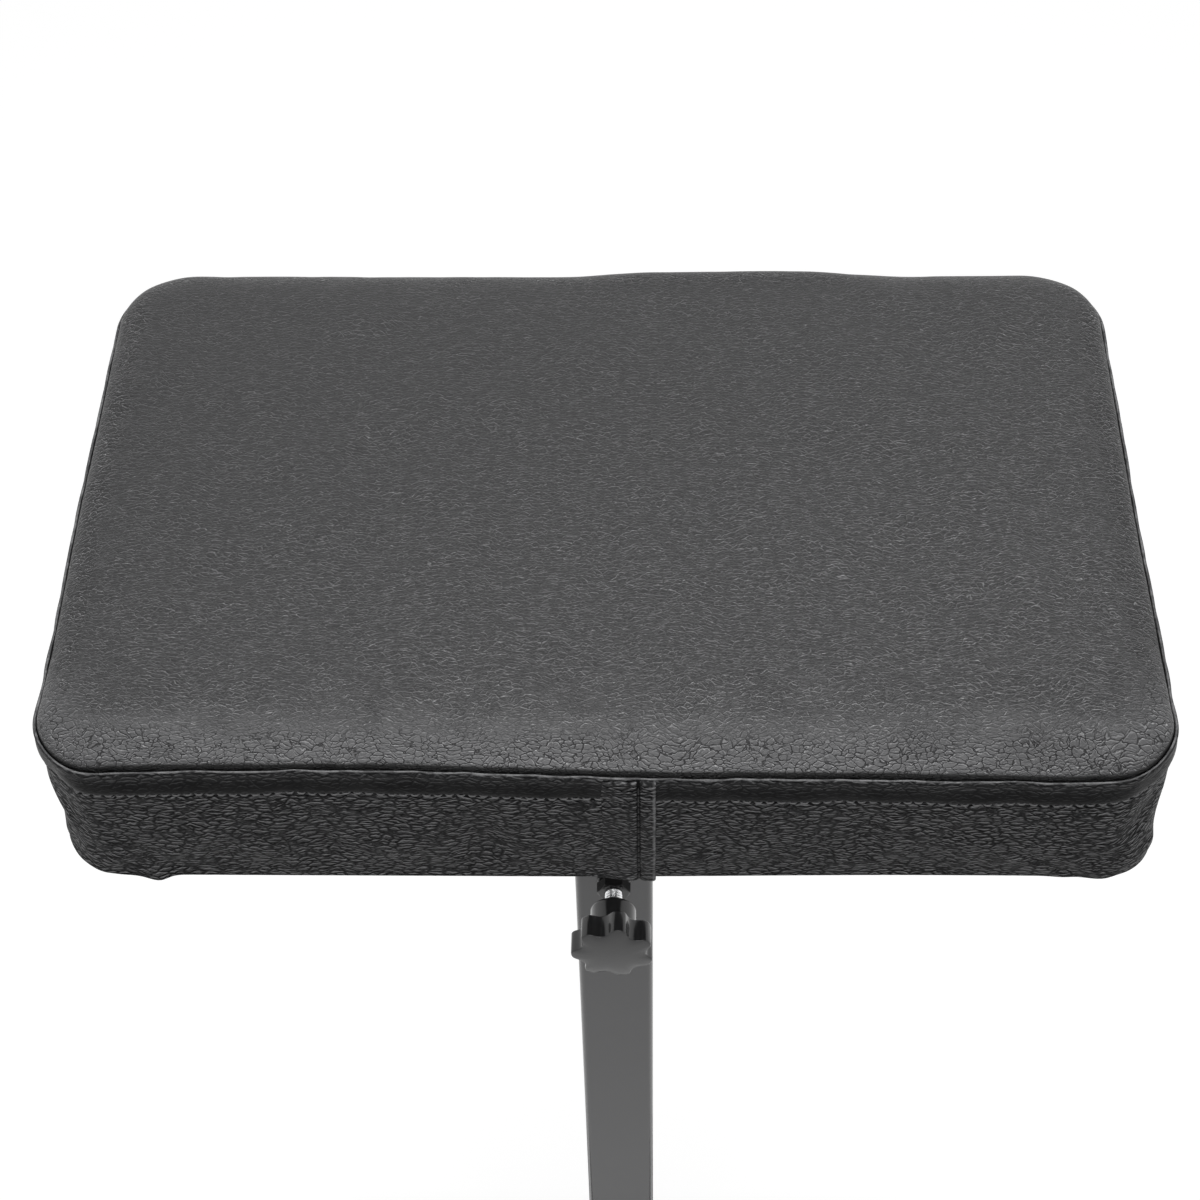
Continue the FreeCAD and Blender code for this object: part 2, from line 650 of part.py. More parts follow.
def make_mast_foot():
    """The plate under the column, its two ribs, and the four bolts through the centre beam."""
    body = new_body("column_foot_plate")
    sketch = sketch_on(body)
    rounded_rectangle(sketch, "beam_width", "foot_plate_length", "foot_plate_corner")
    for x in ("-foot_bolt_x", "foot_bolt_x"):
        for y in ("-foot_bolt_y", "foot_bolt_y"):
            circle(sketch, "bolt_radius + hole_gap", x, y)
    extrude(body, sketch, "foot_plate_thick")
    place(body, z="foot_height + beam_height")

    body = new_body("column_gussets")
    near = f"(-{COLUMN_WIDTH} / 2)"
    far = f"({near} - gusset_reach)"
    sketch = sketch_on(body, "YZ_Plane")
    outline(sketch, ((near, "0"), (near, "gusset_rise"), (far, "gusset_toe"), (far, "0")))
    extrude(body, sketch, "gusset_thick", symmetric=True)
    mirror_whole(body, "XZ_Plane")
    place(body, z=COLUMN_BASE)

    grip = "washer_thick + foot_plate_thick + beam_height + washer_thick + nut_height + bolt_end"
    body = hex_bolt("foot_bolts", grip, "foot_bolt_x", "-foot_bolt_y")
    mirror_whole(body, "YZ_Plane", "XZ_Plane")
    place(body, z=f"{COLUMN_BASE} + washer_thick")

    body = washer("foot_washers", "washer_radius", "foot_bolt_x", "-foot_bolt_y")
    sketch = sketch_on(body, lift="-(foot_plate_thick + beam_height + washer_thick)")
    ring(sketch, "washer_radius", "bolt_radius + hole_gap", "foot_bolt_x", "-foot_bolt_y")
    extrude(body, sketch, "washer_thick")
    mirror_whole(body, "YZ_Plane", "XZ_Plane")
    place(body, z=COLUMN_BASE)

    body = hex_nut("foot_nuts", x="foot_bolt_x", y="-foot_bolt_y")
    mirror_whole(body, "YZ_Plane", "XZ_Plane")
    place(body, z="foot_height - washer_thick - nut_height")


# Mast


def make_column():
    body = square_tube("column_tube", COLUMN_WIDTH, "column_wall", "column_corner", "column_length")
    sketch = sketch_on(body, "XZ_Plane")
    circle(sketch, "bolt_radius + 2 * hole_gap", "0", "column_length - clamp_drop")
    cut(body, sketch, backward=True)
    place(body, z=COLUMN_BASE)

    body = hex_nut("clamp_weld_nut")
    place(body, y=f"-{COLUMN_WIDTH} / 2", z=CLAMP_Z, axis=VECTOR(1, 0, 0), angle=SQUARE)

    body = new_body("column_guide_bush")
    opening = "post_width + 2 * slide_gap"
    opening_corner = "post_corner + slide_gap"
    sketch = sketch_on(body)
    flange = f"{COLUMN_WIDTH} + 2 * bush_lip"
    rounded_rectangle(sketch, flange, flange, "column_corner + bush_lip")
    feature = extrude(body, sketch, "bush_flange")
    round_edges(body, feature, "bush_round", lambda e: at_height(e, size_of("bush_flange")))
    sketch = sketch_on(body)
    liner = "post_width + 2 * slide_gap + 2 * liner_thick"
    rounded_rectangle(sketch, liner, liner, "column_corner - column_wall")
    extrude(body, sketch, "liner_depth", backward=True)
    sketch = sketch_on(body)
    rounded_rectangle(sketch, opening, opening, opening_corner)
    cut(body, sketch, symmetric=True)
    sketch = sketch_on(body, "XZ_Plane")
    circle(sketch, "bolt_radius + 3 * hole_gap", "0", "-clamp_drop")
    cut(body, sketch, backward=True)
    place(body, z=COLUMN_TOP)


def make_post():
    body = square_tube("post_tube", "post_width", "post_wall", "post_corner", "post_length")
    pivot = "post_length - pivot_edge"
    for height in (pivot, f"{pivot} - slot_radius"):
        sketch = sketch_on(body, "YZ_Plane")
        circle(sketch, "bolt_radius + hole_gap", "0", height)
        cut(body, sketch, symmetric=True)
    place(body, z=POST_END_Z)

    body = plug(
        "post_top_cap",
        "post_width",
        "post_width",
        "post_corner",
        "post_wall",
        "post_cap_rim",
        f"(pivot_edge - sleeve_radius) * {POST_PLUG_SHARE}",
    )
    place(body, z=f"{PIVOT_Z} + pivot_edge")

    glide = "post_width + 2 * liner_thick"
    body = new_body("post_bottom_glide")
    sketch = sketch_on(body)
    rounded_rectangle(sketch, glide, glide, "column_corner")
    feature = extrude(body, sketch, "glide_rim", backward=True)
    low = -size_of("glide_rim")
    round_edges(body, feature, "cap_edge", lambda e: at_height(e, low), "Chamfer")
    sketch = sketch_on(body)
    inside = "post_width - 2 * (post_wall + plug_gap)"
    rounded_rectangle(sketch, inside, inside, "post_corner - post_wall")
    extrude(body, sketch, "cap_depth")
    place(body, z=POST_END_Z)

    for label, drop in (("pivot_sleeve", "0"), ("lock_sleeve", "slot_radius")):
        body = new_body(label)
        sketch = sketch_on(body, "YZ_Plane")
        ring(sketch, "sleeve_radius", "bolt_radius + hole_gap")
        extrude(body, sketch, "post_width - 2 * post_wall", symmetric=True)
        place(body, z=f"{PIVOT_Z} - {drop}")


def make_pivot():
    """The pivot's bolt, lock nut and washers, along X."""
    span = f"2 * ({EAR_OUTSIDE} + washer_thick)"
    body = hex_bolt("pivot_bolt", f"{span} + lock_nut_height + bolt_end")
    place(body, x=f"-({EAR_OUTSIDE} + washer_thick)", z=PIVOT_Z, axis=VECTOR(0, 1, 0), angle=-SQUARE)

    body = hex_nut("pivot_nut", "lock_nut_height - nylon_height")
    sketch = sketch_on(body, lift="lock_nut_height - nylon_height")
    ring(sketch, "nut_flats / 2 - edge_chamfer / 2", "bolt_radius + thread_gap")
    collar = extrude(body, sketch, "nylon_height")
    top = size_of("lock_nut_height")
    rim = size_of("nut_flats / 2 - edge_chamfer")
    round_edges(body, collar, "edge_chamfer", lambda e: at_height(e, top) and e.BoundBox.XMax > rim)
    place(body, x=f"{EAR_OUTSIDE} + washer_thick", z=PIVOT_Z, axis=VECTOR(0, 1, 0), angle=SQUARE)

    body = new_body("pivot_washers")
    sketch = sketch_on(body, "YZ_Plane", lift=EAR_OUTSIDE)
    ring(sketch, "washer_radius", "bolt_radius + hole_gap")
    extrude(body, sketch, "washer_thick")
    mirror_whole(body, "YZ_Plane")
    place(body, z=PIVOT_Z)


def make_tilt_lock():
    """The bolt through both slots, its washers, and the star knob that clamps the ears."""
    lock_z = f"{PIVOT_Z} - slot_radius"
    outside = f"({EAR_OUTSIDE} + washer_thick)"
    body = hex_bolt("lock_bolt", f"2 * {outside} + lock_bolt_bite")
    place(body, x=f"-{outside}", z=lock_z, axis=VECTOR(0, 1, 0), angle=-SQUARE)

    body = washer("lock_bolt_washer", "fender_radius")
    place(body, x=f"-{EAR_OUTSIDE}", z=lock_z, axis=VECTOR(0, 1, 0), angle=-SQUARE)

    body = washer("lock_knob_washer", "fender_radius")
    place(body, x=EAR_OUTSIDE, z=lock_z, axis=VECTOR(0, 1, 0), angle=SQUARE)

    body = star_knob("lock_knob", "insert_radius + thread_gap", "insert_length")
    sketch = sketch_on(body)
    circle(sketch, "bolt_radius + hole_gap")
    cut(body, sketch, "lock_bolt_bite + lock_bolt_room", backward=True)
    place(body, x=outside, z=lock_z, axis=VECTOR(0, 1, 0), angle=SQUARE, spin="lock_knob_turn")

    body = new_body("lock_knob_insert")
    sketch = sketch_on(body)
    ring(sketch, "insert_radius", "bolt_radius + thread_gap")
    extrude(body, sketch, "insert_length")
    place(body, x=outside, z=lock_z, axis=VECTOR(0, 1, 0), angle=SQUARE)


def make_clamp():
    """The height clamp: a stud in the welded nut, its star knob and its nylon tip, along -Y.

    Along the screw, 0 is the column's front face."""
    face = f"-{COLUMN_WIDTH} / 2"
    tip_end = f"(post_width / 2 - {COLUMN_WIDTH} / 2 + tip_gap)"
    stud_end = f"({tip_end} + tip_length)"
    hub = "(nut_height + stud_gap_show)"

    body = new_body("clamp_swivel_tip")
    sketch = sketch_on(body, lift=tip_end)
    circle(sketch, "tip_radius")
    feature = extrude(body, sketch, "tip_length")
    round_edges(
        body, feature, "edge_chamfer / 2", lambda e: at_height(e, size_of(tip_end)), "Chamfer"
    )
    sketch = sketch_on(body, lift=stud_end)
    circle(sketch, "tip_pin_radius + thread_gap")
    cut(body, sketch, "tip_pin_length + tip_gap")
    place(body, y=face, z=CLAMP_Z, axis=VECTOR(1, 0, 0), angle=SQUARE)

    body = new_body("clamp_stud")
    sketch = sketch_on(body, lift=stud_end)
    circle(sketch, "bolt_radius")
    feature = extrude(body, sketch, f"{hub} + stud_in_knob - {stud_end}")
    round_edges(
        body, feature, "edge_chamfer", lambda e: at_height(e, size_of(stud_end)), "Chamfer"
    )
    sketch = sketch_on(body, lift=stud_end)
    circle(sketch, "tip_pin_radius")
    extrude(body, sketch, "tip_pin_length", backward=True)
    place(body, y=face, z=CLAMP_Z, axis=VECTOR(1, 0, 0), angle=SQUARE)

    body = star_knob("clamp_knob", "bolt_radius + thread_gap", "stud_in_knob")
    place(
        body,
        y=f"{face} - {hub}",
        z=CLAMP_Z,
        axis=VECTOR(1, 0, 0),
        angle=SQUARE,
        spin="clamp_knob_turn",
    )


# Tilt head


def make_bracket():
    """A pressed U over the post, with a pivot hole and a quadrant slot in each ear."""
    body = new_body("tilt_bracket")
    half = "bracket_half_length"
    fall = f"sqrt({EAR_RADIUS} ^ 2 - {half} ^ 2)"
    side = size_of(half)
    low = -size_of(fall)
    top = size_of(WEB_TOP)
    sketch = sketch_on(body, "YZ_Plane")
    corners = ((side, low), (side, top), (-side, top), (-side, low))
    lines = [
        sketch.addGeometry(Part.LineSegment(VECTOR(*start, 0), VECTOR(*end, 0)))
        for start, end in zip(corners, corners[1:])
    ]
    radius = size_of(EAR_RADIUS)
    swing = math.atan2(low, side)
    quadrant = Part.ArcOfCircle(Part.Circle(VECTOR(0, 0, 0), UP, radius), -math.pi - swing, swing)
    arc = sketch.addGeometry(quadrant)
    hold_point(sketch, arc, 3, "0", "0")
    constrain(sketch, "Radius", arc, size=EAR_RADIUS)
    for first, second in zip(lines, lines[1:]):
        sketch.addConstraint(Sketcher.Constraint("Coincident", first, 2, second, 1))
    sketch.addConstraint(Sketcher.Constraint("Coincident", lines[-1], 2, arc, 1))
    sketch.addConstraint(Sketcher.Constraint("Coincident", arc, 2, lines[0], 1))
    hold_point(sketch, lines[1], 1, half, WEB_TOP)
    hold_point(sketch, lines[1], 2, f"-{half}", WEB_TOP)
    sketch.addConstraint(Sketcher.Constraint("Vertical", lines[0]))
    sketch.addConstraint(Sketcher.Constraint("Vertical", lines[-1]))
    block = extrude(body, sketch, f"2 * {EAR_OUTSIDE}", symmetric=True)

    outer_bends = round_edges(
        body,
        block,
        "bracket_bend + bracket_thick",
        lambda e: at_height(e, top) and e.BoundBox.YLength > side,
    )
    body.Tip = outer_bends
    sketch = sketch_on(body, "XZ_Plane")
    rectangle(sketch, f"-{EAR_INSIDE}", EAR_INSIDE, f"-{EAR_RADIUS} - ear_margin", "web_rise")
    channel = cut(body, sketch, symmetric=True)
    inner = size_of("web_rise")
    round_edges(
        body,
        channel,
        "bracket_bend",
        lambda e: at_height(e, inner) and e.BoundBox.YLength > side,
    )

    sketch = sketch_on(body, "YZ_Plane")
    circle(sketch, "bolt_radius + hole_gap")
    cut(body, sketch, symmetric=True)
    sketch = sketch_on(body, "YZ_Plane")
    quadrant_slot(sketch)
    cut(body, sketch, symmetric=True)
    place(body, z=PIVOT_Z)


def quadrant_slot(sketch):
    """A slot along an arc about the origin, hanging below it, tilt_limit degrees each way."""
    half_width = "(bolt_radius + slot_clearance)"
    down = math.radians(SQUARE)
    limit = math.radians(size_of("tilt_limit"))
    middle = size_of("slot_radius")
    width = size_of(half_width)
    arcs = []
    for radius in (middle - width, middle + width):
        curve = Part.ArcOfCircle(Part.Circle(VECTOR(0, 0, 0), UP, radius), -down - limit, -down + limit)
        arcs.append(sketch.addGeometry(curve))
    ends = []
    for sign in (-1, 1):
        angle = -down + sign * limit
        centre = VECTOR(middle * math.cos(angle), middle * math.sin(angle), 0)
        start = angle if sign > 0 else angle + math.pi
        curve = Part.ArcOfCircle(Part.Circle(centre, UP, width), start, start + math.pi)
        ends.append(sketch.addGeometry(curve))
    inner, outer = arcs
    left, right = ends
    for arc in arcs:
        hold_point(sketch, arc, 3, "0", "0")
    reach = "slot_radius * sin(tilt_limit * 1 deg)"
    hold_point(sketch, left, 3, f"-{reach}", "-slot_radius * cos(tilt_limit * 1 deg)")
    constrain(sketch, "DistanceX", -1, 1, right, 3, size=reach)
    constrain(sketch, "Radius", inner, size=f"slot_radius - {half_width}")
    for first, first_end, second, second_end in (
        (inner, 1, left, 1),
        (left, 2, outer, 1),
        (outer, 2, right, 1),
        (right, 2, inner, 2),
    ):
        sketch.addConstraint(Sketcher.Constraint("Tangent", first, first_end, second, second_end))


def make_plate():
    """The mounting plate and what bolts it to the board."""
    body = new_body("pad_mount_plate")
    sketch = sketch_on(body)
    rounded_rectangle(sketch, "plate_length", "plate_depth", "plate_corner")
    for x in ("-plate_screw_x", "plate_screw_x"):
        for y in ("-plate_screw_y", "plate_screw_y"):
            circle(sketch, "screw_radius + hole_gap", x, y)
    extrude(body, sketch, "plate_thick")
    place(body, z=f"{PIVOT_Z} + {WEB_TOP}")

    body = new_body("plate_screws")
    sketch = sketch_on(body)
    circle(sketch, "screw_head_radius", "plate_screw_x", "-plate_screw_y")
    head = extrude(body, sketch, "screw_head", backward=True)
    low = -size_of("screw_head")
    round_edges(body, head, "screw_head_bevel", lambda e: at_height(e, low), "Chamfer")
    sketch = sketch_on(body)
    circle(sketch, "screw_radius", "plate_screw_x", "-plate_screw_y")
    extrude(body, sketch, "washer_thick + plate_thick + dust_thick + board_thick")
    mirror_whole(body, "YZ_Plane", "XZ_Plane")
    place(body, z=f"{PIVOT_Z} + {WEB_TOP} - washer_thick")

    body = washer(
        "plate_washers",
        "screw_washer_radius",
        "plate_screw_x",
        "-plate_screw_y",
        "screw_radius + hole_gap",
    )
    mirror_whole(body, "YZ_Plane", "XZ_Plane")
    place(body, z=f"{PIVOT_Z} + {WEB_TOP} - washer_thick")

    body = new_body("tee_nuts")
    bore = "screw_radius + thread_gap"
    sketch = sketch_on(body)
    ring(sketch, "tee_flange_radius", bore, "plate_screw_x", "-plate_screw_y")
    extrude(body, sketch, "tee_flange", backward=True)
    sketch = sketch_on(body, lift="-tee_flange")
    ring(sketch, "tee_barrel_radius", bore, "plate_screw_x", "-plate_screw_y")
    extrude(body, sketch, "tee_barrel", backward=True)
    mirror_whole(body, "YZ_Plane", "XZ_Plane")
    place(body, z=f"{BOARD_BASE} + board_thick")


# Pad


def wall_section(share, drawn, tucked, inward):
    """One section of the pad's side: height above the underside, width, depth and radius."""
    inset = f"(foot_draw * {drawn} + seam_inset * {tucked} + {inward})"
    return (
        f"pad_wall * {share}",
        f"pad_length - 2 * {inset}",
        f"pad_depth - 2 * {inset}",
        f"pad_corner - {inset}",
    )


def crown_section(rise, run, inward):
    """One section of the pad's top. A skin's inner face is lower by its own thickness."""
    inset = f"(seam_inset + crown_run * {run} + {inward} * {1 - run})"
    return (
        f"pad_wall + (pad_crown - {inward}) * {rise}",
        f"pad_length - 2 * {inset}",
        f"pad_depth - 2 * {inset}",
        f"pad_corner - seam_inset - crown_run * {run} * {CROWN_CORNER_SHARE} - {inward} * {1 - run}",
    )


def pad_outline(sketch, inset, corner=None):
    """The pad's outline drawn in by an inset. Its corner radius shrinks as much if none is given."""
    radius = corner or f"pad_corner - {inset}"
    rounded_rectangle(sketch, f"pad_length - 2 * {inset}", f"pad_depth - 2 * {inset}", radius)


def make_cover():
    """The sewn cover: a crowned top panel, a side band, and the margin turned under the board."""
    body = new_body("cover_top_panel")
    loft(body, [crown_section(rise, run, "0") for rise, run in CROWN_SHARES])
    loft(body, [crown_section(rise, run, "cover_thick") for rise, run in CROWN_SHARES], subtract=True)
    place(body, z=PAD_BASE)

    body = new_body("cover_side_band")
    loft(body, [wall_section(*shares, "0") for shares in SIDE_SHARES])
    loft(body, [wall_section(*shares, "cover_thick") for shares in SIDE_SHARES], subtract=True)
    place(body, z=PAD_BASE)

    body = new_body("cover_hem")
    sketch = sketch_on(body)
    pad_outline(sketch, "(foot_draw + cover_thick)")
    pad_outline(sketch, "(foot_draw + hem_width)", f"pad_corner * {HEM_CORNER_SHARE}")
    extrude(body, sketch, "cover_thick")
    place(body, z=f"{PAD_BASE} + dust_thick")


def make_dust_cover():
    """The sheet under the pad: flat under the hem, and stepped up inside it to meet the board."""
    body = new_body("dust_cover")
    sketch = sketch_on(body)
    pad_outline(sketch, "dust_inset")
    extrude(body, sketch, "cover_thick + dust_thick")
    corner = f"pad_corner * {HEM_CORNER_SHARE}"
    sketch = sketch_on(body, lift="dust_thick")
    pad_outline(sketch, "dust_inset")
    pad_outline(sketch, "(foot_draw + hem_width)", corner)
    cut(body, sketch, backward=True)
    sketch = sketch_on(body)
    pad_outline(sketch, "(foot_draw + hem_width + dust_step)", f"{corner} - dust_step")
    cut(body, sketch, "cover_thick", backward=True)
    sketch = sketch_on(body)
    for x in ("-plate_screw_x", "plate_screw_x"):
        for y in ("-plate_screw_y", "plate_screw_y"):
            circle(sketch, "screw_radius + hole_gap", x, y)
    cut(body, sketch, backward=True)
    place(body, z=PAD_BASE)


def make_filling():
    """The plywood board with its counterbored screw holes, and the foam block on it."""
    body = new_body("pad_board")
    sketch = sketch_on(body)
    pad_outline(sketch, "(foot_draw + cover_thick + board_gap)")
    for x in ("-plate_screw_x", "plate_screw_x"):
        for y in ("-plate_screw_y", "plate_screw_y"):
            circle(sketch, "tee_barrel_radius + hole_gap", x, y)
    extrude(body, sketch, "board_thick")
    sketch = sketch_on(body, lift="board_thick - tee_flange")
    for x in ("-plate_screw_x", "plate_screw_x"):
        for y in ("-plate_screw_y", "plate_screw_y"):
            circle(sketch, "tee_flange_radius + hole_gap", x, y)
    cut(body, sketch, backward=True)
    place(body, z=BOARD_BASE)

    body = new_body("foam_core")
    inward = "(cover_thick + foam_gap)"
    sides = [wall_section(*shares, inward) for shares in SIDE_SHARES]
    top = [crown_section(rise, run, inward) for rise, run in CROWN_SHARES]
    loft(body, sides + top[1:])
    sketch = sketch_on(body)
    rounded_rectangle(sketch, "pad_length", "pad_depth", "pad_corner")
    cut(body, sketch, "dust_thick + cover_thick + board_thick", backward=True)
    place(body, z=PAD_BASE)


make_base()
make_beam_caps()
make_feet()
make_mast_foot()
make_column()
make_post()
make_pivot()
make_tilt_lock()
make_clamp()
make_bracket()
make_plate()
make_cover()
make_dust_cover()
make_filling()
doc.recompute()

failed = [o.Label for o in doc.Objects if "Invalid" in o.State or "Error" in o.State]
if failed:
    sys.exit(f"these did not compute: {failed}")

bodies = [o for o in doc.Objects if o.isDerivedFrom("PartDesign::Body")]
for body in bodies:
    if body.Shape.isNull() or not body.Shape.isValid() or not body.Shape.Solids:
        sys.exit(f"{body.Label} has no valid solid")

os.makedirs("parts", exist_ok=True)
for body in bodies:
    body.Shape.exportStep(os.path.join("parts", body.Label + ".step"))
print(f"{len(bodies)} pieces written")
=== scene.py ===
"""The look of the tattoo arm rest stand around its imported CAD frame, for Blender 4.5.

Metres, +Z up, -Y is the front. The pad's leather, its seams, threads, lap and hem, the dust sheet
with its staples, the screw threads and the weld beads are made here, and every CAD node gets a
procedural finish.
"""

import json
import math

import bpy
import numpy as np
from mathutils import Matrix, Vector, noise


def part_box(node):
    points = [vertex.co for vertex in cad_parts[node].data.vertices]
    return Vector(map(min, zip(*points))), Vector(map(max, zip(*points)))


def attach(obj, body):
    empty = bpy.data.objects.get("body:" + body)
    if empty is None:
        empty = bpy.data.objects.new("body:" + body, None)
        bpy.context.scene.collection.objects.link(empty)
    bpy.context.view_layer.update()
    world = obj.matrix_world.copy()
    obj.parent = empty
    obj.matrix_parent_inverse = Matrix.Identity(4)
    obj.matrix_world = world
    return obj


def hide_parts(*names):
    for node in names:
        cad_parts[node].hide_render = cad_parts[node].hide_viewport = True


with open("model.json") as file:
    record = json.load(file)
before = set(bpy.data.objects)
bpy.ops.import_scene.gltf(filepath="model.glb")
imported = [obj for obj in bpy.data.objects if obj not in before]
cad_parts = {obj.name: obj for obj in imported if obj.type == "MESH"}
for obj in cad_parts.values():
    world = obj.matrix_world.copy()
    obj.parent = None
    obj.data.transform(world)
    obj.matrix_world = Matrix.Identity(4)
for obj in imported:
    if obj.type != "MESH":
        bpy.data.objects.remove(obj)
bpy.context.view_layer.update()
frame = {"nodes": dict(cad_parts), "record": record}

MM = 0.001
TURN = 2 * math.pi
RANDOM_SEED = 11
rng = np.random.default_rng(RANDOM_SEED)

# Camera, fitted to the photograph's straight lines
CAMERA_PLACE = (0.01916, -0.61552, 1.57184)
CAMERA_YAW = -2.1118
CAMERA_PITCH = 49.3399
CAMERA_ROLL = -1.5036
CAMERA_LENS = 71.22
CAMERA_SENSOR = 36.0

# Pad, in metres
PAD_HALF_LENGTH = 0.200
PAD_HALF_DEPTH = 0.1275
SEAM_INSET = 0.0006
SEAM_Z = 0.9118
CROWN = 0.0096
SHOULDER = 0.0080
SHOULDER_RUN = 0.016
PAD_WALL = 0.064
FOOT_DRAW = 0.0004
BOARD_BASE = 0.8494
HEM_Z = 0.8483
SEAM_HALF = (PAD_HALF_LENGTH - SEAM_INSET, PAD_HALF_DEPTH - SEAM_INSET)
# Corner radius at the seam: near left, near right, far right, far left
CORNER_RADII = (0.024, 0.023, 0.031, 0.030)


def smooth(value, low, high):
    """A smooth step from 0 at low to 1 at high, for numbers or arrays."""
    share = np.clip((np.asarray(value, float) - low) / (high - low), 0, 1)
    return share * share * (3 - 2 * share)


def bell(value, centre, width):
    """A bump of height 1 about a centre."""
    return np.exp(-(((np.asarray(value, float) - centre) / width) ** 2))


def ripple(x, y, z):
    return noise.noise(Vector((x, y, z)))


def direction(angle):
    return np.array((math.cos(angle), math.sin(angle)))


def run_along(points):
    """Each point's distance along a polyline."""
    steps = np.linalg.norm(np.diff(points, axis=0), axis=1)
    return np.concatenate(([0], np.cumsum(steps)))


# Meshes


def make_object(name, vertices, faces):
    mesh = bpy.data.meshes.new(name)
    mesh.from_pydata([tuple(v) for v in np.asarray(vertices, float)], [], faces)
    mesh.validate()
    mesh.update()
    mesh.polygons.foreach_set("use_smooth", [True] * len(mesh.polygons))
    obj = bpy.data.objects.new(name, mesh)
    bpy.context.scene.collection.objects.link(obj)
    return obj


def grid_faces(rows, columns, closed=False, capped=False, flip=False):
    """Quads between rows of points, each row as long as columns, and, if capped, a face on each end
    row.
    """
    faces = []
    for row in range(rows - 1):
        for column in range(columns if closed else columns - 1):
            here = row * columns + column
            beside = row * columns + (column + 1) % columns
            faces.append((here + columns, beside + columns, beside, here))
    if capped:
        last_row = range((rows - 1) * columns, rows * columns)
        faces += [tuple(range(columns)), tuple(reversed(last_row))]
    return [face[::-1] for face in faces] if flip else faces


class Pile:
    """Gathers small closed tubes into one mesh."""

    def __init__(self):
        self.vertices = []
        self.faces = []

    def tube(self, points, radii, sides=8, flat=1.0, normal=(0, 0, 1)):
        """A closed tube along points, with a radius at each, flattened along its normal."""
        points = [Vector(p) for p in points]
        normal = Vector(normal)
        start = len(self.vertices)
        for i, point in enumerate(points):
            along = points[min(i + 1, len(points) - 1)] - points[max(i - 1, 0)]
            along.normalize()
            side = along.cross(normal)
            side.normalize()
            rise = side.cross(along)
            for k in range(sides):
                angle = TURN * k / sides
                reach = side * math.cos(angle) + rise * math.sin(angle) * flat
                self.vertices.append(point + reach * radii[i])
        for face in grid_faces(len(points), sides, closed=True, capped=True):
            self.faces.append(tuple(start + i for i in face))

    def build(self, name):
        return make_object(name, self.vertices, self.faces)


def finish_piece(obj, body, material):
    """Gives a piece its material and the body it rides on."""
    obj.data.materials.append(material)
    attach(obj, body)


# Materials


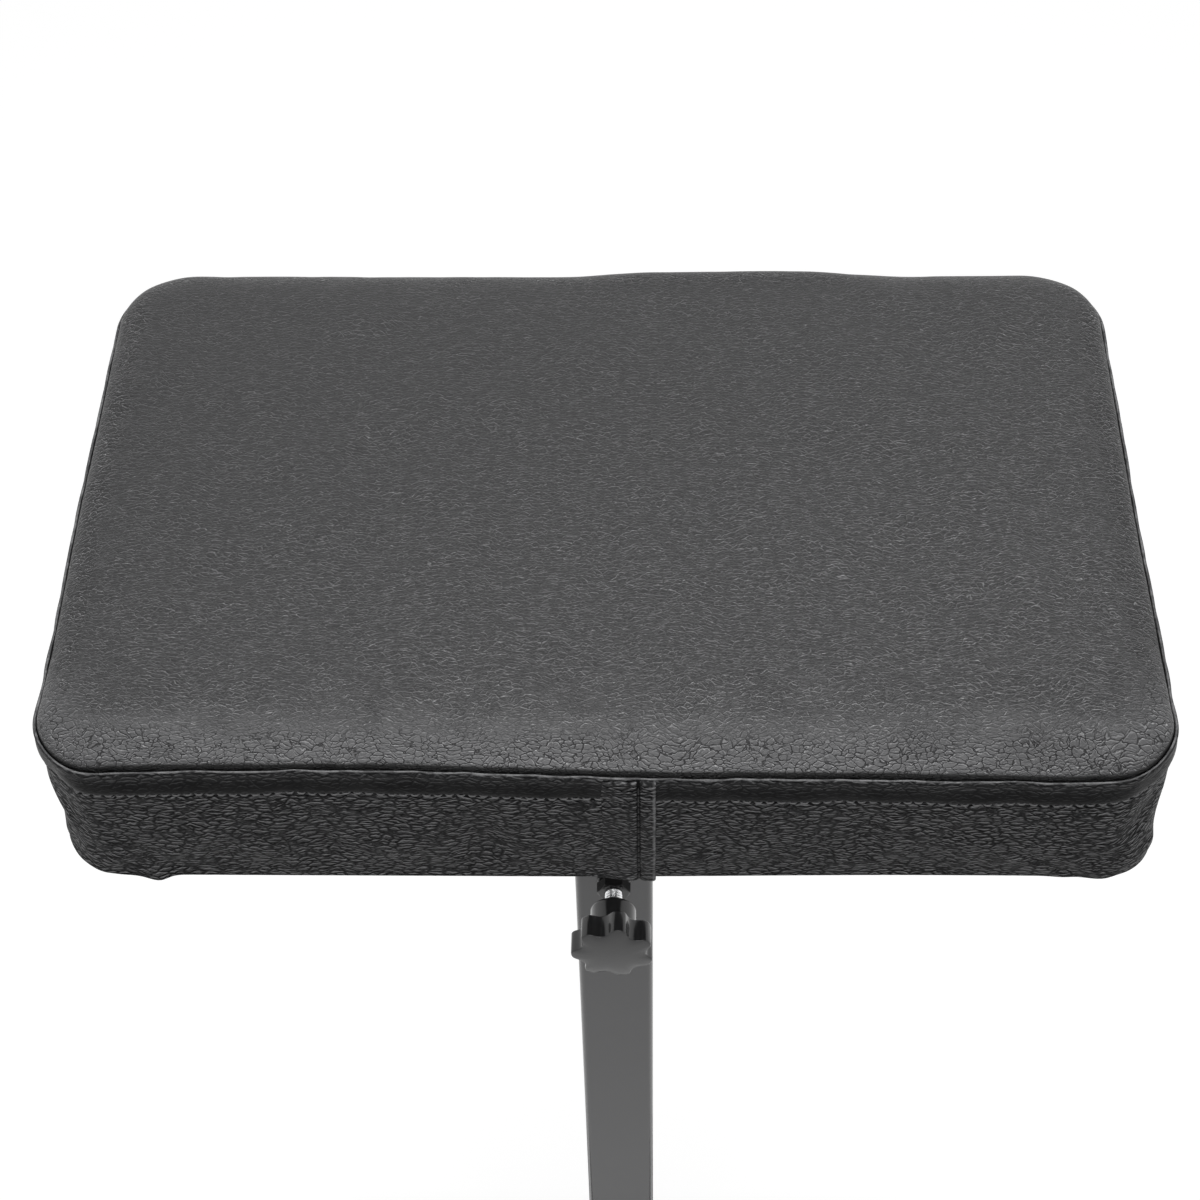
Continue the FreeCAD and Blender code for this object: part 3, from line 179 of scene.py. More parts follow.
class Finish:
    """The node graph of a new material or of the world, built by short calls."""

    def __init__(self, name, world=None):
        self.owner = world or bpy.data.materials.new(name)
        self.owner.use_nodes = True
        self.tree = self.owner.node_tree
        self.tree.nodes.clear()
        self.output = self.add("OutputWorld" if world else "OutputMaterial")

    def add(self, kind, inputs=None, **settings):
        node = self.tree.nodes.new("ShaderNode" + kind)
        for key, value in settings.items():
            setattr(node, key, value)
        for key, value in (inputs or {}).items():
            self.put(node.inputs[key], value)
        return node

    def put(self, socket, value):
        if isinstance(value, bpy.types.NodeSocket):
            self.tree.links.new(value, socket)
        elif value is not None:
            socket.default_value = value

    def end(self, shader):
        self.put(self.output.inputs["Surface"], shader.outputs[0])
        return self.owner

    def place(self):
        return self.add("TexCoord").outputs["Object"]

    def attribute(self, name):
        return self.add("Attribute", attribute_name=name).outputs["Fac"]

    def uv(self):
        return self.add("UVMap", uv_map="leather").outputs["UV"]

    def vector(self, operation, *values):
        node = self.add("VectorMath", dict(enumerate(values)), operation=operation)
        return node.outputs["Vector"]

    def scaled(self, vector, scale):
        return self.vector("MULTIPLY", vector, scale)

    def math(self, operation, first, second=None, clamp=False):
        node = self.add("Math", {0: first, 1: second}, operation=operation, use_clamp=clamp)
        return node.outputs[0]

    def times(self, first, second):
        return self.math("MULTIPLY", first, second)

    def plus(self, first, second):
        return self.math("ADD", first, second)

    def larger(self, first, second):
        return self.math("MAXIMUM", first, second)

    def noise(self, vector, scale, *settings):
        """Settings are the detail, the roughness and the distortion."""
        names = ("Vector", "Scale", "Detail", "Roughness", "Distortion")
        values = (vector, scale, *settings, *(2.0, 0.5, 0.0)[len(settings) :])
        return self.add("TexNoise", dict(zip(names, values))).outputs["Fac"]

    def cells(self, vector, scale, feature="DISTANCE_TO_EDGE", randomness=1.0):
        inputs = {"Vector": vector, "Scale": scale, "Randomness": randomness}
        node = self.add("TexVoronoi", inputs, feature=feature, voronoi_dimensions="3D")
        return node.outputs["Distance"]

    def pebbles(self, vector, stretch, scale, width, reach):
        """Pebbles between creases: their height, and how far each flank faces along +V."""
        here = self.remap(self.cells(self.scaled(vector, stretch), scale), 0.0, width)
        moved = self.vector("ADD", vector, (0.0, reach, 0.0))
        ahead = self.cells(self.scaled(moved, stretch), scale)
        return here, self.math("SUBTRACT", here, self.remap(ahead, 0.0, width))

    def remap(self, value, low, high, out_low=0.0, out_high=1.0, kind="SMOOTHSTEP"):
        names = ("Value", "From Min", "From Max", "To Min", "To Max")
        values = (value, low, high, out_low, out_high)
        node = self.add("MapRange", dict(zip(names, values)), interpolation_type=kind)
        return node.outputs["Result"]

    def ramp(self, value, low, high, out_low, out_high):
        return self.remap(value, low, high, out_low, out_high, "LINEAR")

    def mix_colour(self, share, first, second):
        node = self.add("Mix", {0: share}, data_type="RGBA")
        for index, colour in ((6, first), (7, second)):
            if isinstance(colour, tuple):
                colour = (*colour, 1.0)
            self.put(node.inputs[index], colour)
        return node.outputs[2]

    def warped(self, vector, scale, amount):
        """The vector moved about by a noise."""
        node = self.add("TexNoise", {"Vector": vector, "Scale": scale, "Detail": 1.0})
        centred = self.vector("SUBTRACT", node.outputs["Color"], (0.5, 0.5, 0.5))
        return self.vector("MULTIPLY_ADD", centred, (amount, amount, amount), vector)

    def bump(self, height, distance, normal=None):
        inputs = {"Height": height, "Distance": distance, "Strength": 1.0, "Normal": normal}
        return self.add("Bump", inputs).outputs["Normal"]

    def edge(self, radius=0.0012):
        """1 on the model's edges and 0 on its faces."""
        rounded = self.add("Bevel", {"Radius": radius}, samples=4).outputs["Normal"]
        flat = self.add("NewGeometry").outputs["Normal"]
        node = self.add("VectorMath", {0: rounded, 1: flat}, operation="DOT_PRODUCT")
        return self.remap(node.outputs["Value"], 0.999, 0.86)

    def rounded(self, radius):
        return self.add("Bevel", {"Radius": radius}, samples=6).outputs["Normal"]

    def shade(self, colour, roughness, metallic=0.0, normal=None, **levels):
        """Ends the graph in one shader. Levels are plain numbers set on its sockets."""
        names = ("Base Color", "Roughness", "Metallic", "Normal")
        inputs = dict(zip(names, (colour, roughness, metallic, normal)))
        for key, value in levels.items():
            inputs[key.replace("_", " ").title().replace("Ior", "IOR")] = value
        return self.end(self.add("BsdfPrincipled", inputs))


def leather_finish(name):
    """The pebbled synthetic leather of the top: flat pebbles with fine light edges, painted
    highlights on the flanks facing +V, and painted shade on the other flanks. They open between
    cracks painted dark as shade where the leather turns over the edge, and that rim is painted
    paler as a highlight, most at the front."""
    f = Finish(name)
    uv = f.uv()
    rim, pale, crease_shade, wear_and_highlight = map(f.attribute, ("rim", "pale", "crease_shade", "wear_and_highlight"))
    broad = f.noise(uv, 9.0, 3.0)
    patch = f.noise(uv, 70.0, 2.0)
    flow = f.warped(uv, 32.0, 0.013)
    bent = f.warped(f.warped(flow, 210.0, 0.0020), 700.0, 0.0007)
    wavy = f.warped(bent, 560.0, 0.0012)

    pebble, facing = f.pebbles(bent, (0.62, 1.36, 1.0), 470.0, 0.11, 0.00017)
    _, fine_facing = f.pebbles(bent, (0.66, 1.50, 1.0), 900.0, 0.17, 0.00012)
    split, slope = f.pebbles(wavy, (0.64, 1.40, 1.0), 440.0, 0.085, 0.00030)
    uneven = f.remap(f.noise(uv, 260.0, 3.0, 0.6), 0.36, 0.60, 0.25, 1.0)
    glint = f.remap(f.noise(uv, 900.0, 1.0), 0.56, 0.70)
    # Painted highlight: pebble flanks facing +V are lit, more so where finer pebbles face that way
    # too
    lit = f.times(f.larger(facing, 0.0), uneven)
    lit = f.larger(lit, f.times(fine_facing, 0.45))
    painted_shade = f.larger(f.times(facing, -1.0), 0.0)
    grit = f.noise(uv, 4800.0, 2.0, 0.7)
    reach = f.plus(rim, f.times(f.math("SUBTRACT", patch, 0.5), 0.5))
    cracked = f.remap(reach, 0.30, 0.74)
    broken = f.remap(f.noise(uv, 330.0, 2.0), 0.34, 0.52, 0.25, 1.0)
    crack = f.times(f.math("SUBTRACT", 1.0, split), broken)

    height = f.times(split, cracked)
    height = f.plus(height, f.times(pebble, 0.4))
    height = f.plus(height, f.times(grit, 0.14))
    normal = f.bump(height, 0.00022)

    tone = f.mix_colour(broad, (0.0135, 0.0135, 0.0142), (0.0180, 0.0180, 0.0189))
    tone = f.mix_colour(f.times(patch, 0.35), tone, (0.026, 0.026, 0.0275))
    # Painted highlight: the rim painted paler, mostly along the front roundover
    tone = f.mix_colour(f.remap(pale, 0.04, 0.96), tone, (0.112, 0.112, 0.115))
    # Painted highlight strokes, fainter where pebbles crack open and stronger towards the front
    # right; the upper flanks of opened pebbles are painted lit too
    light_share = f.times(lit, f.ramp(cracked, 0.0, 1.0, 0.9, 0.35))
    light_share = f.times(light_share, wear_and_highlight)
    upper = f.times(f.larger(slope, 0.0), f.times(cracked, 0.62))
    light_share = f.larger(light_share, upper)
    # The painted highlight's colour, brighter at painted glints
    stroke = f.mix_colour(glint, (0.380, 0.380, 0.388), (0.750, 0.750, 0.760))
    tone = f.mix_colour(light_share, tone, stroke)
    # Painted shade on the pebble flanks facing -V
    dark_share = f.times(painted_shade, f.ramp(cracked, 0.0, 1.0, 0.45, 0.25))
    tone = f.mix_colour(dark_share, tone, (0.006, 0.006, 0.0065))
    # Painted shade in the opened cracks, darkened near black
    tone = f.mix_colour(f.times(crack, cracked), tone, (0.006, 0.006, 0.0065))
    # Painted shade in the seam's groove
    tone = f.mix_colour(crease_shade, tone, (0.003, 0.003, 0.0032))
    rough = f.ramp(patch, 0.3, 0.7, 0.36, 0.44)
    return f.shade(tone, rough, normal=normal, specular_ior_level=0.28)


def side_leather_finish(name):
    """The same leather pulled round the sides, where its pebbles lie in flat wavy rows."""
    f = Finish(name)
    uv = f.uv()
    strip, ridge_highlight, crease_shade = map(f.attribute, ("strip", "ridge_highlight", "crease_shade"))
    broad = f.noise(uv, 14.0, 3.0)
    waved = f.warped(f.warped(uv, 60.0, 0.0050), 430.0, 0.0012)
    pebble, facing = f.pebbles(waved, (0.46, 1.20, 1.0), 450.0, 0.26, 0.00046)
    _, fine_facing = f.pebbles(waved, (0.60, 1.50, 1.0), 860.0, 0.26, 0.00022)
    band_share = f.ramp(strip, 0.0, 1.0, 1.0, 0.10)
    facing = f.plus(facing, f.times(fine_facing, 0.35))
    facing = f.times(facing, band_share)
    height = f.times(f.times(pebble, band_share), 1.6)
    height = f.plus(height, f.times(f.noise(uv, 2600.0, 2.0, 0.6), 0.25))
    normal = f.bump(height, 0.00030)
    uneven = f.remap(f.noise(uv, 200.0, 3.0, 0.6), 0.36, 0.62, 0.7, 1.0)
    tone = f.mix_colour(broad, (0.0460, 0.0460, 0.0474), (0.0560, 0.0560, 0.0577))
    tone = f.mix_colour(f.times(strip, 0.96), tone, (0.0035, 0.0035, 0.0038))
    # Painted highlight on the pebbles' flanks facing +V
    lit = f.times(f.larger(facing, 0.0), uneven)
    tone = f.mix_colour(lit, tone, (0.320, 0.320, 0.326))
    # Painted shade on the flanks facing -V and in the gaps between pebbles
    painted_shade = f.larger(f.times(facing, -2.0), 0.0)
    gap = f.times(f.math("SUBTRACT", 1.0, pebble), f.times(band_share, 0.8))
    painted_shade = f.math("MAXIMUM", painted_shade, f.times(gap, uneven), clamp=True)
    tone = f.mix_colour(f.times(painted_shade, 0.97), tone, (0.0008, 0.0008, 0.0010))
    # Painted highlight along the folded ridge and the lap's folded edge, uneven by a noise
    glow = f.remap(f.noise(uv, 150.0, 3.0, 0.7), 0.40, 0.62, 0.35, 1.0)
    tone = f.mix_colour(f.times(ridge_highlight, glow), tone, (0.270, 0.270, 0.275))
    # Painted shade in the seam's and the stitches' grooves
    tone = f.mix_colour(crease_shade, tone, (0.002, 0.002, 0.0022))
    rough = f.ramp(painted_shade, 0.0, 1.0, 0.36, 0.75)
    return f.shade(tone, rough, normal=normal, specular_ior_level=0.055)


def thread_finish(name, dark, pale):
    f = Finish(name)
    place = f.place()
    twist = f.noise(f.scaled(place, (1.0, 1.0, 1.6)), 2600.0, 2.0)
    colour = f.mix_colour(twist, dark, pale)
    normal = f.bump(twist, 0.00012)
    return f.shade(colour, 0.62, normal=normal, specular_ior_level=0.4)


def paint_finish(name, pale, dark):
    """Gloss enamel on steel tube: orange peel, dust specks, and edges rubbed a little paler."""
    f = Finish(name)
    place = f.place()
    peel = f.noise(place, 420.0, 2.0, 0.45)
    specks = f.remap(f.cells(place, 260.0, "F1"), 0.0, 0.05, 1.0, 0.0)
    drift = f.noise(place, 14.0, 3.0)
    scuff = f.noise(f.scaled(place, (1.0, 1.0, 0.12)), 620.0, 3.0, 0.65)
    # In the paint this mask is edge wear, rubbed paler
    wear_and_highlight = f.times(f.edge(), f.remap(f.noise(place, 160.0, 3.0), 0.52, 0.72))
    colour = f.mix_colour(drift, dark, pale)
    colour = f.mix_colour(f.times(specks, 0.2), colour, (0.11, 0.11, 0.11))
    colour = f.mix_colour(f.times(wear_and_highlight, 0.45), colour, (0.17, 0.165, 0.16))
    rough = f.ramp(scuff, 0.35, 0.75, 0.21, 0.25)
    normal = f.bump(peel, 0.00006, f.rounded(0.0005))
    return f.shade(
        colour, rough, normal=normal, coat_weight=0.36, coat_roughness=0.06, specular_ior_level=0.30
    )


def metal_finish(name, pale, dark, low_rough, high_rough, streak=(1.0, 1.0, 1.0)):
    """Plated or bare metal with a brushed drift, fine scratches and duller patches."""
    f = Finish(name)
    place = f.place()
    drift = f.noise(place, 90.0, 3.0, 0.6)
    brushed = f.noise(f.scaled(place, streak), 1500.0, 3.0, 0.6)
    patch = f.remap(f.noise(place, 260.0, 2.0), 0.45, 0.7)
    colour = f.mix_colour(drift, pale, dark)
    rough = f.ramp(brushed, 0.3, 0.7, low_rough, high_rough)
    rough = f.plus(rough, f.times(patch, 0.06))
    normal = f.bump(brushed, 0.00002, f.rounded(0.00025))
    return f.shade(colour, rough, 1.0, normal)


def plastic_finish(name, pale, dark, rough, grain, gloss=0.0, rub_and_highlight=0.5, specular=0.5):
    """Moulded plastic or rubber: fine eroded grain, drifting tone, rubbed edges; on the knob the
    paler edges are also a painted highlight along its rims.
    """
    f = Finish(name)
    place = f.place()
    drift = f.noise(place, 35.0, 3.0)
    eroded = f.noise(place, 1900.0, 3.0, 0.6)
    rubbed = f.times(f.edge(0.0009), f.remap(f.noise(place, 240.0, 2.0), 0.4, 0.7))
    colour = f.mix_colour(drift, dark, pale)
    lighter = tuple(min(1.0, channel * 1.9 + 0.012) for channel in pale[:3])
    colour = f.mix_colour(f.times(rubbed, rub_and_highlight), colour, lighter)
    surface = f.ramp(eroded, 0.3, 0.7, rough - 0.05, rough + 0.05)
    normal = f.bump(eroded, grain, f.rounded(0.0006))
    return f.shade(
        colour, surface, normal=normal,
        coat_weight=gloss, coat_roughness=0.08, specular_ior_level=specular,
    )


def plywood_finish():
    f = Finish("birch_plywood")
    place = f.place()
    settings = {"Vector": place, "Scale": 105.0, "Distortion": 0.4}
    plies = f.add("TexWave", settings, bands_direction="Z")
    grain = f.noise(f.scaled(place, (0.05, 1.0, 1.0)), 620.0, 4.0, 0.6)
    colour = f.mix_colour(grain, (0.62, 0.45, 0.28), (0.74, 0.59, 0.41))
    colour = f.mix_colour(f.times(plies.outputs["Fac"], 0.35), colour, (0.38, 0.25, 0.15))
    return f.shade(colour, 0.7, normal=f.bump(grain, 0.0001))


def foam_finish():
    f = Finish("open_cell_foam")
    place = f.place()
    # Painted shade: the foam darker in its pores
    pores = f.remap(f.cells(place, 1100.0, "F1"), 0.15, 0.55)
    colour = f.mix_colour(pores, (0.55, 0.49, 0.30), (0.86, 0.80, 0.56))
    return f.shade(colour, 0.9, normal=f.bump(pores, 0.0003))


def dust_sheet_finish():
    """Spun-bonded cloth: matted fibres with a small welded dot pattern."""
    f = Finish("spun_bonded_sheet")
    place = f.place()
    fibres = f.noise(f.warped(place, 300.0, 0.004), 1700.0, 5.0, 0.75, 1.2)
    dots = f.remap(f.cells(place, 620.0, "F1", 0.0), 0.16, 0.28)
    height = f.plus(f.times(fibres, 0.6), f.times(dots, 0.5))
    colour = f.mix_colour(fibres, (0.012, 0.012, 0.013), (0.040, 0.040, 0.042))
    return f.shade(colour, 0.92, normal=f.bump(height, 0.00012), specular_ior_level=0.25)


def weld_finish():
    """Painted weld: the gloss paint over a rippled bead."""
    f = Finish("painted_weld")
    place = f.place()
    spatter = f.noise(place, 900.0, 3.0)
    colour = f.mix_colour(spatter, (0.026, 0.026, 0.028), (0.042, 0.042, 0.044))
    normal = f.bump(spatter, 0.0001)
    return f.shade(colour, 0.28, normal=normal, coat_weight=0.7, coat_roughness=0.1)


def seen_directly(f):
    """1 for camera, glossy and transmission rays, which see the pale background."""
    rays = f.add("LightPath").outputs
    seen = f.larger(rays["Is Camera Ray"], rays["Is Glossy Ray"])
    return f.larger(seen, rays["Is Transmission Ray"])


FLOOR_SHARE_LIT = 0.3
FLOOR_GLOW = 0.85


def floor_finish():
    """Pale studio floor that still takes the object's shadow."""
    f = Finish("pale_floor")
    mottle = f.noise(f.place(), 2.2)
    colour = f.mix_colour(mottle, (0.795, 0.795, 0.795), (0.805, 0.805, 0.805))
    plain = f.add("BsdfDiffuse", {"Color": colour})
    shadowed = f.add("BsdfDiffuse", {"Color": (*(FLOOR_SHARE_LIT,) * 3, 1)})
    glow = f.add("Emission", {"Color": (1, 1, 1, 1), "Strength": FLOOR_GLOW})
    bright = f.add("AddShader", {0: shadowed.outputs[0], 1: glow.outputs[0]})
    return f.end(
        f.add("MixShader", {0: seen_directly(f), 1: plain.outputs[0], 2: bright.outputs[0]})
    )


leather = leather_finish("pebbled_leather")
side_leather = side_leather_finish("crinkled_leather")
# The same black thread twice: paler on the band as a painted highlight, darker on the lap as
# painted shade
thread = thread_finish("lit_black_thread", (0.100, 0.100, 0.102), (0.280, 0.280, 0.285))
dark_thread = thread_finish("shaded_thread", (0.006, 0.006, 0.006), (0.016, 0.016, 0.017))
paint = paint_finish("gloss_paint", (0.058, 0.058, 0.061), (0.050, 0.050, 0.052))
# The gloss paint again, near black for the weld nut: painted shade for the pad's shadow over it
shaded_nut_paint = paint_finish("shaded_nut_paint", (0.008, 0.008, 0.008), (0.005, 0.005, 0.005))
weld = weld_finish()
zinc = metal_finish("zinc_plate", (0.66, 0.67, 0.68), (0.50, 0.51, 0.52), 0.26, 0.40)
chrome = metal_finish("chrome_plate", (0.86, 0.86, 0.87), (0.74, 0.75, 0.76), 0.07, 0.16)
nonwoven = dust_sheet_finish()

FINISHES = {
    "black_paint": paint,
    "zinc_steel": zinc,
    "chrome_steel": chrome,
    "brass": metal_finish("brass", (0.80, 0.62, 0.31), (0.62, 0.44, 0.20), 0.22, 0.36),
    # The knob's edges are painted much paler: edge wear and a painted rim highlight
    "knob_plastic": plastic_finish(
        "knob_plastic", (0.034, 0.034, 0.035), (0.026, 0.026, 0.027), 0.22, 0.00001, 0.28, 0.9, 0.36
    ),
    "black_plastic": plastic_finish(
        "black_plastic", (0.034, 0.034, 0.035), (0.022, 0.022, 0.023), 0.48, 0.00006
    ),
    "white_nylon": plastic_finish(
        "white_nylon", (0.86, 0.85, 0.81), (0.78, 0.76, 0.70), 0.42, 0.00002
    ),
    "rubber": plastic_finish("rubber", (0.050, 0.049, 0.048), (0.028, 0.028, 0.028), 0.78, 0.00010),
    "plywood": plywood_finish(),
    "foam": foam_finish(),
    "black_leather": leather,
    "dust_sheet": nonwoven,
}

for subpart in frame["record"]["subparts"]:
    name = subpart["node"]
    node = frame["nodes"][name]
    # The weld nut gets the near-black copy of the paint, a painted shade
    finish = shaded_nut_paint if name == "clamp_weld_nut" else FINISHES[subpart["material_slot"]]
    if not node.material_slots:
        node.data.materials.append(finish)
    for material_slot in node.material_slots:
        material_slot.material = finish


# Camera


def make_camera():
    yaw, pitch, roll = (math.radians(a) for a in (CAMERA_YAW, CAMERA_PITCH, CAMERA_ROLL))
    ahead = Vector(
        (math.sin(yaw) * math.cos(pitch), math.cos(yaw) * math.cos(pitch), -math.sin(pitch))
    )
    level = Vector((math.cos(yaw), -math.sin(yaw), 0))
    above = level.cross(ahead)
    right = level * math.cos(roll) + above * math.sin(roll)
    up = above * math.cos(roll) - level * math.sin(roll)
    data = bpy.data.cameras.new("camera")
    data.lens = CAMERA_LENS
    data.sensor_width = CAMERA_SENSOR
    data.clip_start = 0.05
    data.clip_end = 30
    camera = bpy.data.objects.new("camera", data)
    bpy.context.scene.collection.objects.link(camera)
    axes = Matrix((right, up, -ahead)).transposed().to_4x4()
    camera.matrix_world = Matrix.Translation(Vector(CAMERA_PLACE)) @ axes
    bpy.context.scene.camera = camera


make_camera()


# Outlines and the pad's skin


def rounded_loop(half_x, half_y, radii, front_steps, side_steps):
    """Points of a rounded rectangle and their outward normals, anticlockwise. Each side runs
    from the middle of one corner to the middle of the next, the near left corner first."""
    signs = ((-1, -1), (1, -1), (1, 1), (-1, 1))
    centres = [np.array((x * (half_x - r), y * (half_y - r))) for (x, y), r in zip(signs, radii)]
    eighth = TURN / 8
    points = []
    normals = []
    for side in range(4):
        following = (side + 1) % 4
        radius, next_radius = radii[side], radii[following]
        outward = side * TURN / 4 - TURN / 4
        start = centres[side] + radius * direction(outward)
        end = centres[following] + next_radius * direction(outward)
        bend = radius * eighth
        straight = float(np.linalg.norm(end - start))
        steps = (front_steps, side_steps)[side % 2]
        for step in range(steps):
            run = (bend + straight + next_radius * eighth) * step / steps
            angle = outward
            if run < bend:
                angle = outward - eighth + run / radius
                point = centres[side] + radius * direction(angle)
            elif run < bend + straight:
                point = start + (end - start) * (run - bend) / straight
            else:
                angle = outward + (run - bend - straight) / next_radius
                point = centres[following] + next_radius * direction(angle)
            points.append(point)
            normals.append(direction(angle))
    return np.array(points), np.array(normals)


def patch_inside(ring, front_steps, side_steps):
    """Fills a closed ring of points with a grid, by blending its four sides."""
    count = len(ring)
    index = np.arange(count + 1) % count
    low = ring[index[: front_steps + 1]]
    right = ring[index[front_steps : front_steps + side_steps + 1]]
    high = ring[index[front_steps + side_steps : 2 * front_steps + side_steps + 1]][::-1]
    left = ring[index[2 * front_steps + side_steps :]][::-1]
    u = np.linspace(0, 1, front_steps + 1)[:, None, None]
    v = np.linspace(0, 1, side_steps + 1)[None, :, None]
    blend = (1 - v) * low[:, None] + v * high[:, None] + (1 - u) * left[None] + u * right[None]
    corners = (
        (1 - u) * (1 - v) * low[0]
        + u * (1 - v) * low[-1]
        + (1 - u) * v * high[0]
        + u * v * high[-1]
    )
    return blend - corners


def loop_places(m, n):
    """A grid's place of each point on its outline, anticlockwise from its first corner."""
    low = [(i, 0) for i in range(m)] + [(m, j) for j in range(n)]
    return low + [(m - i, n) for i in range(m)] + [(0, n - j) for j in range(n)]


def add_grid(vertices, faces, grid, first, flip):
    """Adds a grid's inner points and its quads. Its outline's points are numbered from first."""
    m, n = len(grid) - 1, len(grid[0]) - 1
    numbers = np.zeros((m + 1, n + 1), int)
    for place, spot in enumerate(loop_places(m, n)):
        numbers[spot] = first + place
    inner = np.arange((m - 1) * (n - 1)).reshape(m - 1, n - 1)
    numbers[1:m, 1:n] = len(vertices) + inner
    vertices.extend(grid[1:m, 1:n].reshape(-1, 3))
    for i in range(m):
        for j in range(n):
            quad = (numbers[i, j], numbers[i + 1, j], numbers[i + 1, j + 1], numbers[i, j + 1])
            faces.append(tuple(int(q) for q in (quad if flip else quad[::-1])))


TOP_SMOOTHINGS = 40


class Shell:
    """The pad's closed skin: a grid on top, rings down to the hem, and a grid that closes it.

    Rings hold the same number of points each, and ring 0 is the edge of the top grid."""

    def __init__(self, front_steps, side_steps, insets, wall):
        """insets are the top rings' distances in from the seam, the last 0. wall is pairs of
        (outward of the seam, height above it) for the rings below."""
        steps = self.front_steps, self.side_steps = front_steps, side_steps
        self.seam, self.normals = rounded_loop(*SEAM_HALF, CORNER_RADII, *steps)
        self.count = len(self.seam)
        self.insets = insets
        self.seam_row = len(insets) - 1
        rows = [(-inset, shoulder_height(inset)) for inset in insets] + list(wall)
        self.plain_depths = np.array([-height for _, height in rows])
        self.rings = np.zeros((len(rows), self.count, 3))
        for row, (outward, height) in enumerate(rows):
            self.rings[row, :, :2] = self.seam + self.normals * outward
            self.rings[row, :, 2] = SEAM_Z + height
        self.top = patch_inside(self.rings[0], *steps)
        self.top[..., 2] = SEAM_Z + shoulder_height(self.edge_distance(self.top))
        for _ in range(TOP_SMOOTHINGS):
            soft = self.top[..., 2].copy()
            soft[1:-1, 1:-1] = (
                soft[:-2, 1:-1] + soft[2:, 1:-1] + soft[1:-1, :-2] + soft[1:-1, 2:]
            ) / 4
            self.top[..., 2] = soft
        self.closing = patch_inside(self.rings[-1], *steps)

    def edge_distance(self, points):
        """How far inside the seam each point lies."""
        x, y = points[..., 0], points[..., 1]
        near_left, near_right, far_right, far_left = CORNER_RADII
        near = np.where(x > 0, near_right, near_left)
        radius = np.where(y > 0, np.where(x > 0, far_right, far_left), near)
        out_x = np.abs(x) - (SEAM_HALF[0] - radius)
        out_y = np.abs(y) - (SEAM_HALF[1] - radius)
        corner = np.hypot(np.maximum(out_x, 0), np.maximum(out_y, 0))
        return radius - np.where(corner > 0, corner, np.maximum(out_x, out_y))

    def outline_spots(self):
        return enumerate(loop_places(self.front_steps, self.side_steps))

    def mesh(self):
        """The closed skin's points and faces. The rings' points come first."""
        vertices = [point for ring in self.rings for point in ring]
        faces = grid_faces(len(self.rings), self.count, closed=True)
        add_grid(vertices, faces, self.top, 0, True)
        add_grid(vertices, faces, self.closing, (len(self.rings) - 1) * self.count, False)
        return np.array(vertices), faces


def shoulder_height(inset):
    """The top's height above the seam, this far in from it."""
    inset = np.asarray(inset, float)
    share = np.clip(inset / SHOULDER_RUN, 0, 1)
    shoulder = SHOULDER * np.sqrt(1 - (1 - share) ** 2.6)
    return shoulder + (CROWN - SHOULDER) * smooth(inset, 0.004, 0.07)


def wall_outward(depth):
    """How far the side stands out past the seam, this far below it."""
    share = np.clip(np.asarray(depth, float) / PAD_WALL, 0, 1)
    swell = SEAM_INSET * smooth(share, 0.0, 0.1) + 0.0004 * np.sin(math.pi * share)
    return swell - FOOT_DRAW * smooth(share, 0.6, 1.0)


def coarse_shell():
    insets = (0.020, 0.015, 0.010, 0.006, 0.0025, 0.0)
    depths = np.linspace(0.006, 0.060, 10)
    wall = [(float(wall_outward(d)), -float(d)) for d in depths]
    wall += [(-FOOT_DRAW, -PAD_WALL), (-0.020, HEM_Z - SEAM_Z), (-0.034, HEM_Z - SEAM_Z)]
    return Shell(66, 42, insets, wall)


CLOTH_SETTINGS = {
    "quality": 7,
    "mass": 0.35,
    "tension_stiffness": 30,
    "compression_stiffness": 30,
    "shear_stiffness": 12,
    "bending_stiffness": 2.0,
    "air_damping": 4.0,
    "use_pressure": True,
    "uniform_pressure_force": 4.0,
    "shrink_min": -0.012,
    "vertex_group_mass": "held",
}
CLOTH_FRAMES = 20
SEAM_HOLD = 0.92
HEM_ROWS = 3
MOVE_CAP = 0.0026


